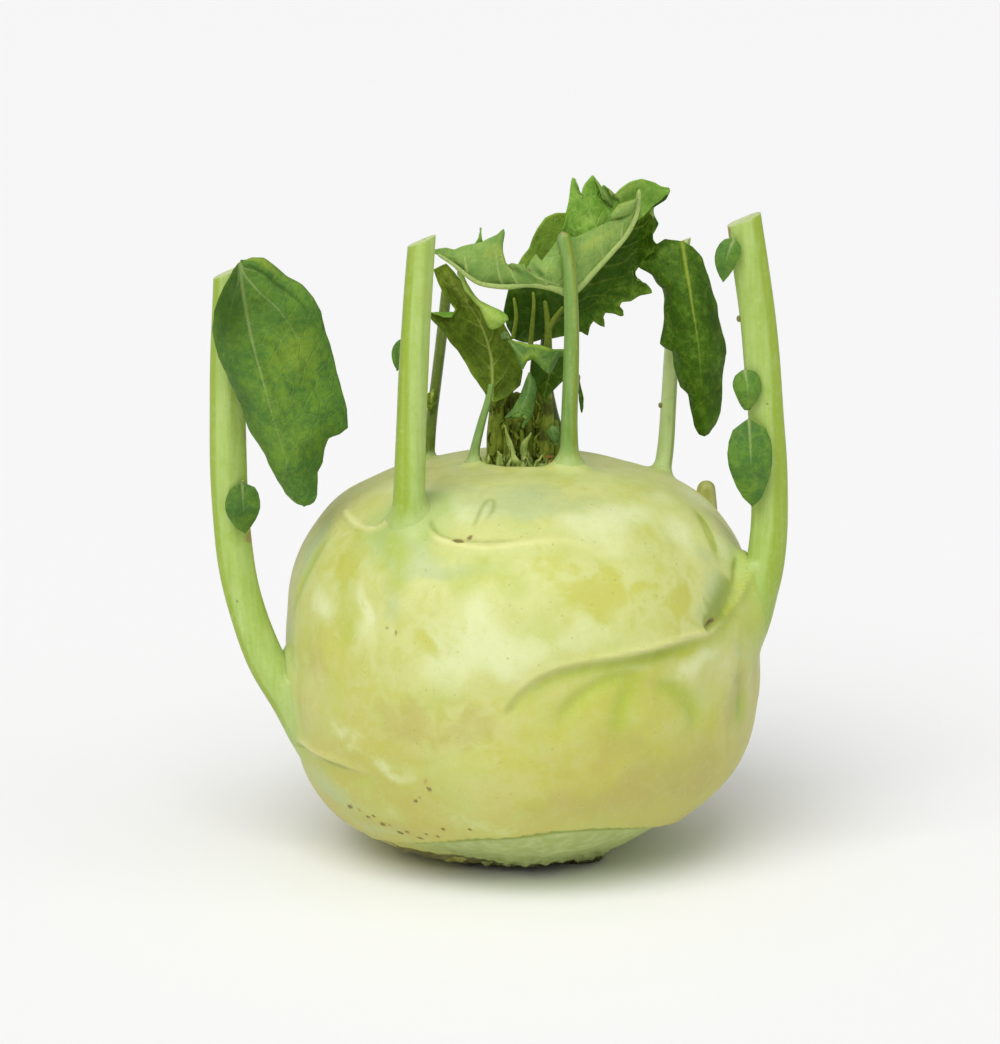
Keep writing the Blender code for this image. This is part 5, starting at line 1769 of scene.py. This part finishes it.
def grow_leaflet(name, finishes, seed):
    """A small oval blade on a stalk."""
    rib, half, kind, *painted_shade = LEAFLETS[name]
    line = smooth_route(rib, 9)
    share = np.linspace(0, 1, 9)
    wide = half * np.sin(math.pi * share**0.72) ** 0.75
    sideways = unit(np.cross(np.gradient(line, axis=0), (0.0, -1.0, 0.0)))
    left, right = line - sideways * wide[:, None], line + sideways * wide[:, None]
    if left[4, 0] > right[4, 0]:
        left, right = right, left
    left, right, rib = ([(x, z) for x, _, z in side] for side in (left, right, line))
    facts = {
        "left": left, "rib": rib, "right": right,
        "depth": ("z", *sorted((z, y + 0.6) for _, y, z in line[::4])),
        "arch": 0.25 * half, "ruffle": (0.15, 1.5), "veins": 4, "lean": 0.4, "faint": 0.3, "rib_ends": 0.6,
        "yellow": ((0.7, 0.2, 0.3, 0.6, 0.5),),
        # Painted shade over the leaflets that list a strength for it.
        "shade": [(0.4, -0.2, 0.6, 1.0, strength) for strength in painted_shade],
    }
    shape = bmesh.new()
    fields_in(shape, LEAF_FIELDS)
    add_lobe(shape, facts, leaf_grid(half, (14, 10), (24, 14), (64, 40)), seed)
    palette = (finishes[kind], finishes["leaf_under"])
    blade_piece(name + "_blade", shape, palette, name, LEAFLET_THICKNESS)


# ---------------------------------------------------------------- ribs and young growth


def add_strand(shape, route, radii, grid, flat=1.0):
    """A tapered round strand, closed at both ends, laid into a shape."""
    made, along, around = lay_grid(shape, *grid)
    _, centre, ahead = follow(route, along, grid[0])
    front = unit(np.array([0.0, -1.0, 0.0]) + ahead * ahead[:, 1:2])
    right = np.cross(ahead, front)
    radius = at_thirds(radii, along) * np.sqrt(np.clip(np.sin(math.pi * np.clip(along, 0.0, 1.0)) * 9, 0, 1))
    bearing = (around * math.pi)[:, None]
    place(made, centre + radius[:, None] * (front * np.cos(bearing) * flat + right * np.sin(bearing)))
    bmesh.ops.remove_doubles(shape, verts=made, dist=2e-6)


TONGUE_GRID = (16, 8)


def add_tongue(shape, route, half, cup, dry, twist):
    """A small pointed scale or scrap of leaf along its route, cupped towards the crown's middle."""
    made, along, side = lay_grid(shape, *TONGUE_GRID)
    _, centre, ahead = follow(route, along, TONGUE_GRID[0])
    outward = unit((centre - (*CROWN_CENTRE, 0.0)) * (1.0, 1.0, 0.0))
    sideways = unit(np.cross(ahead, outward))
    turn = (twist * (along - 0.2))[:, None]
    across = sideways * np.cos(turn) + outward * np.sin(turn)
    notch = 1 + 0.22 * np.sin(13 * along + half * 9) * np.sign(side) + 0.15 * np.sin(7 * along + half * 20)
    width = half * np.sin(math.pi * (0.2 + 0.77 * along)) ** 0.7 * notch
    points = centre + across * (side * width)[:, None] - outward * (cup * width * side**2)[:, None]
    points += 0.16 * np.stack([cloud(points, 1.6, 70 + axis) for axis in range(3)], 1)
    place(made, points)
    layer = shape.verts.layers.float["dry"]
    for vertex, value in zip(made, dry + 0.5 * along**2):
        vertex[layer] = value
    face_towards(shape, made, Vector(outward.mean(0)))


# Scraps of leaf on a young stem and round a bud scale: how many, then the ranges to draw from.
SCRAPS = {
    "young": {
        "count": 14, "turn": (-2.6, -0.5), "set_out": 0.85, "length": (1.5, 4.0), "sway": 1.0,
        "lift": (1.0, 3.0), "dry": (-0.5, 0.8),
    },
    "bud": {
        "count": 7, "turn": (-3.1, 0.0), "set_out": 0.8, "length": (1.6, 4.6), "sway": 2.2,
        "lift": (0.8, 3.0), "dry": (-0.5, 0.9),
    },
}


def grow_crown(name, finishes, seed):
    """A young stem wrapped in dry scales, or a bud scale with the scraps of leaf around it."""
    route, radii = CROWN[name]
    random = np.random.default_rng(seed)
    shape = bmesh.new()
    dryness, rust = fields_in(shape, ("dry", "rust"))
    young = name.startswith("young")
    if young:
        add_strand(shape, route, radii, (40, 24), flat=0.9)
        for vertex in shape.verts:
            vertex[dryness] = YOUNG_DRYNESS[name] + 0.25 * math.sin(vertex.co.z / MM * 1.1 + seed)
        for owner, thin, thin_radii, rusty in THIN_STEMS:
            if owner == name:
                old = set(shape.verts)
                add_strand(shape, thin, thin_radii, (30, 14), flat=0.9)
                for vertex in set(shape.verts) - old:
                    vertex[dryness], vertex[rust] = 0.5, rusty
        bmesh.ops.recalc_face_normals(shape, faces=shape.faces)
    else:
        add_tongue(shape, route, radii[0], 0.5, -0.1, random.uniform(-0.9, 0.9))
    scraps = SCRAPS["young" if young else "bud"]
    foot, tip = np.array(route[0]), np.array(route[-1])
    for _ in range(scraps["count"]):
        turn = random.uniform(*scraps["turn"])
        away = np.array([math.cos(turn), math.sin(turn), 0.0])
        up = random.uniform(0.0, 0.7) if young else 0.0
        root = foot * (1 - up) + tip * up + away * (radii[0] * scraps["set_out"])
        length = random.uniform(*scraps["length"])
        lean = away * random.uniform(0.0, 1.0) + np.array([random.uniform(-1, 1) * scraps["sway"], 0, 0])
        root[2] += random.uniform(*scraps["lift"])
        end = root + np.array([0, 0, length]) + lean
        bow = np.array([random.uniform(-0.8, 0.8), 0, 0])
        middle = (root + end) / 2 + away * random.uniform(0.1, 0.6) + bow
        half = random.uniform(0.3, 0.8)
        dry = random.uniform(*scraps["dry"])
        add_tongue(shape, (root, middle, end), half, 0.6, dry, random.uniform(-1.6, 1.6))
    skin, slot, ending = (finishes[0], "stalk", "_skin") if young else (finishes[1], "bud_scale", "_tuft")
    blade_piece(name + ending, shape, (skin, skin), name, SCALE_THICKNESS)


# ---------------------------------------------------------------- assembly


FLOOR_HALF = 5.0
FLOOR_WHITE = (0.93, 0.93, 0.93)
ROOM_LIGHT = 0.38
LAMP_SPREAD = 50.0
# Lamps: the direction that each shines from and its strength.
LAMPS = {"key": ((-0.30, -0.80, 1.05), 2.25), "fill": ((0.8, -0.5, 1.2), 0.35)}
LENS = 130.76
SENSOR_WIDTH = 36.0
CAMERA_AT = (-0.0044, -0.78252, 0.23683)
CAMERA_TILT = 78.0


def studio():
    """A plain pale floor, an even room light and two broad soft lamps."""
    scene = bpy.context.scene
    scene.view_settings.view_transform = "Standard"
    floor_shape = bmesh.new()
    bmesh.ops.create_grid(floor_shape, x_segments=1, y_segments=1, size=FLOOR_HALF)
    mesh = mesh_of("floor", floor_shape)
    floor = add_to_scene("floor", mesh)
    pale = Finish("pale_floor")
    mesh.materials.append(pale.done(FLOOR_WHITE, 0.9, pale.bump(pale.noise(4), 0.01)))

    world = bpy.data.worlds.new("soft_room")
    world.use_nodes = True
    room = world.node_tree.nodes["Background"].inputs
    room["Color"].default_value = (1.0, 1.0, 1.0, 1.0)
    room["Strength"].default_value = ROOM_LIGHT
    scene.world = world
    for name, (comes_from, strength) in LAMPS.items():
        lamp = bpy.data.lights.new(name, "SUN")
        lamp.angle = math.radians(LAMP_SPREAD)
        lamp.energy = strength
        made = add_to_scene(name, lamp)
        made.rotation_euler = Vector(comes_from).to_track_quat("Z", "Y").to_euler()


def camera():
    """The view from a little above the front."""
    lens = bpy.data.cameras.new("view")
    lens.lens = LENS
    lens.sensor_width = SENSOR_WIDTH
    made = add_to_scene("view", lens)
    made.location = CAMERA_AT
    made.rotation_euler = (math.radians(CAMERA_TILT), 0.0, 0.0)
    bpy.context.scene.camera = made


def main():
    camera()
    studio()
    stalks = [Stalk(name) for name in STALKS]
    body = grow_bulb()
    tree = skin_tree(body)
    join_stalks(body, stalks)
    settle("bulb_body", body, (skin_finish(),), "bulb")
    stalk_skins = {name: stalk_finish(name, *colours) for name, colours in STALK_FINISHES.items()}
    pith = pith_finish()
    for stalk in stalks:
        grow_stalk(stalk, tree, (stalk_skins[stalk.facts.get("finish", "stalk_skin")], pith))
    growth = (growth_finish("young_stem", *STEM_COLOURS), growth_finish("bud_scale", *SCALE_COLOURS))
    for seed, name in enumerate(CROWN):
        grow_crown(name, growth, 800 + seed)
    leaf_skins = {name: leaf_finish(name, *colours) for name, colours in LEAF_FINISHES.items()}
    for seed, name in enumerate(LEAVES):
        grow_leaf(name, leaf_skins, 100 + 40 * seed)
    for seed, name in enumerate(LEAFLETS):
        grow_leaflet(name, leaf_skins, 600 + 10 * seed)


main()
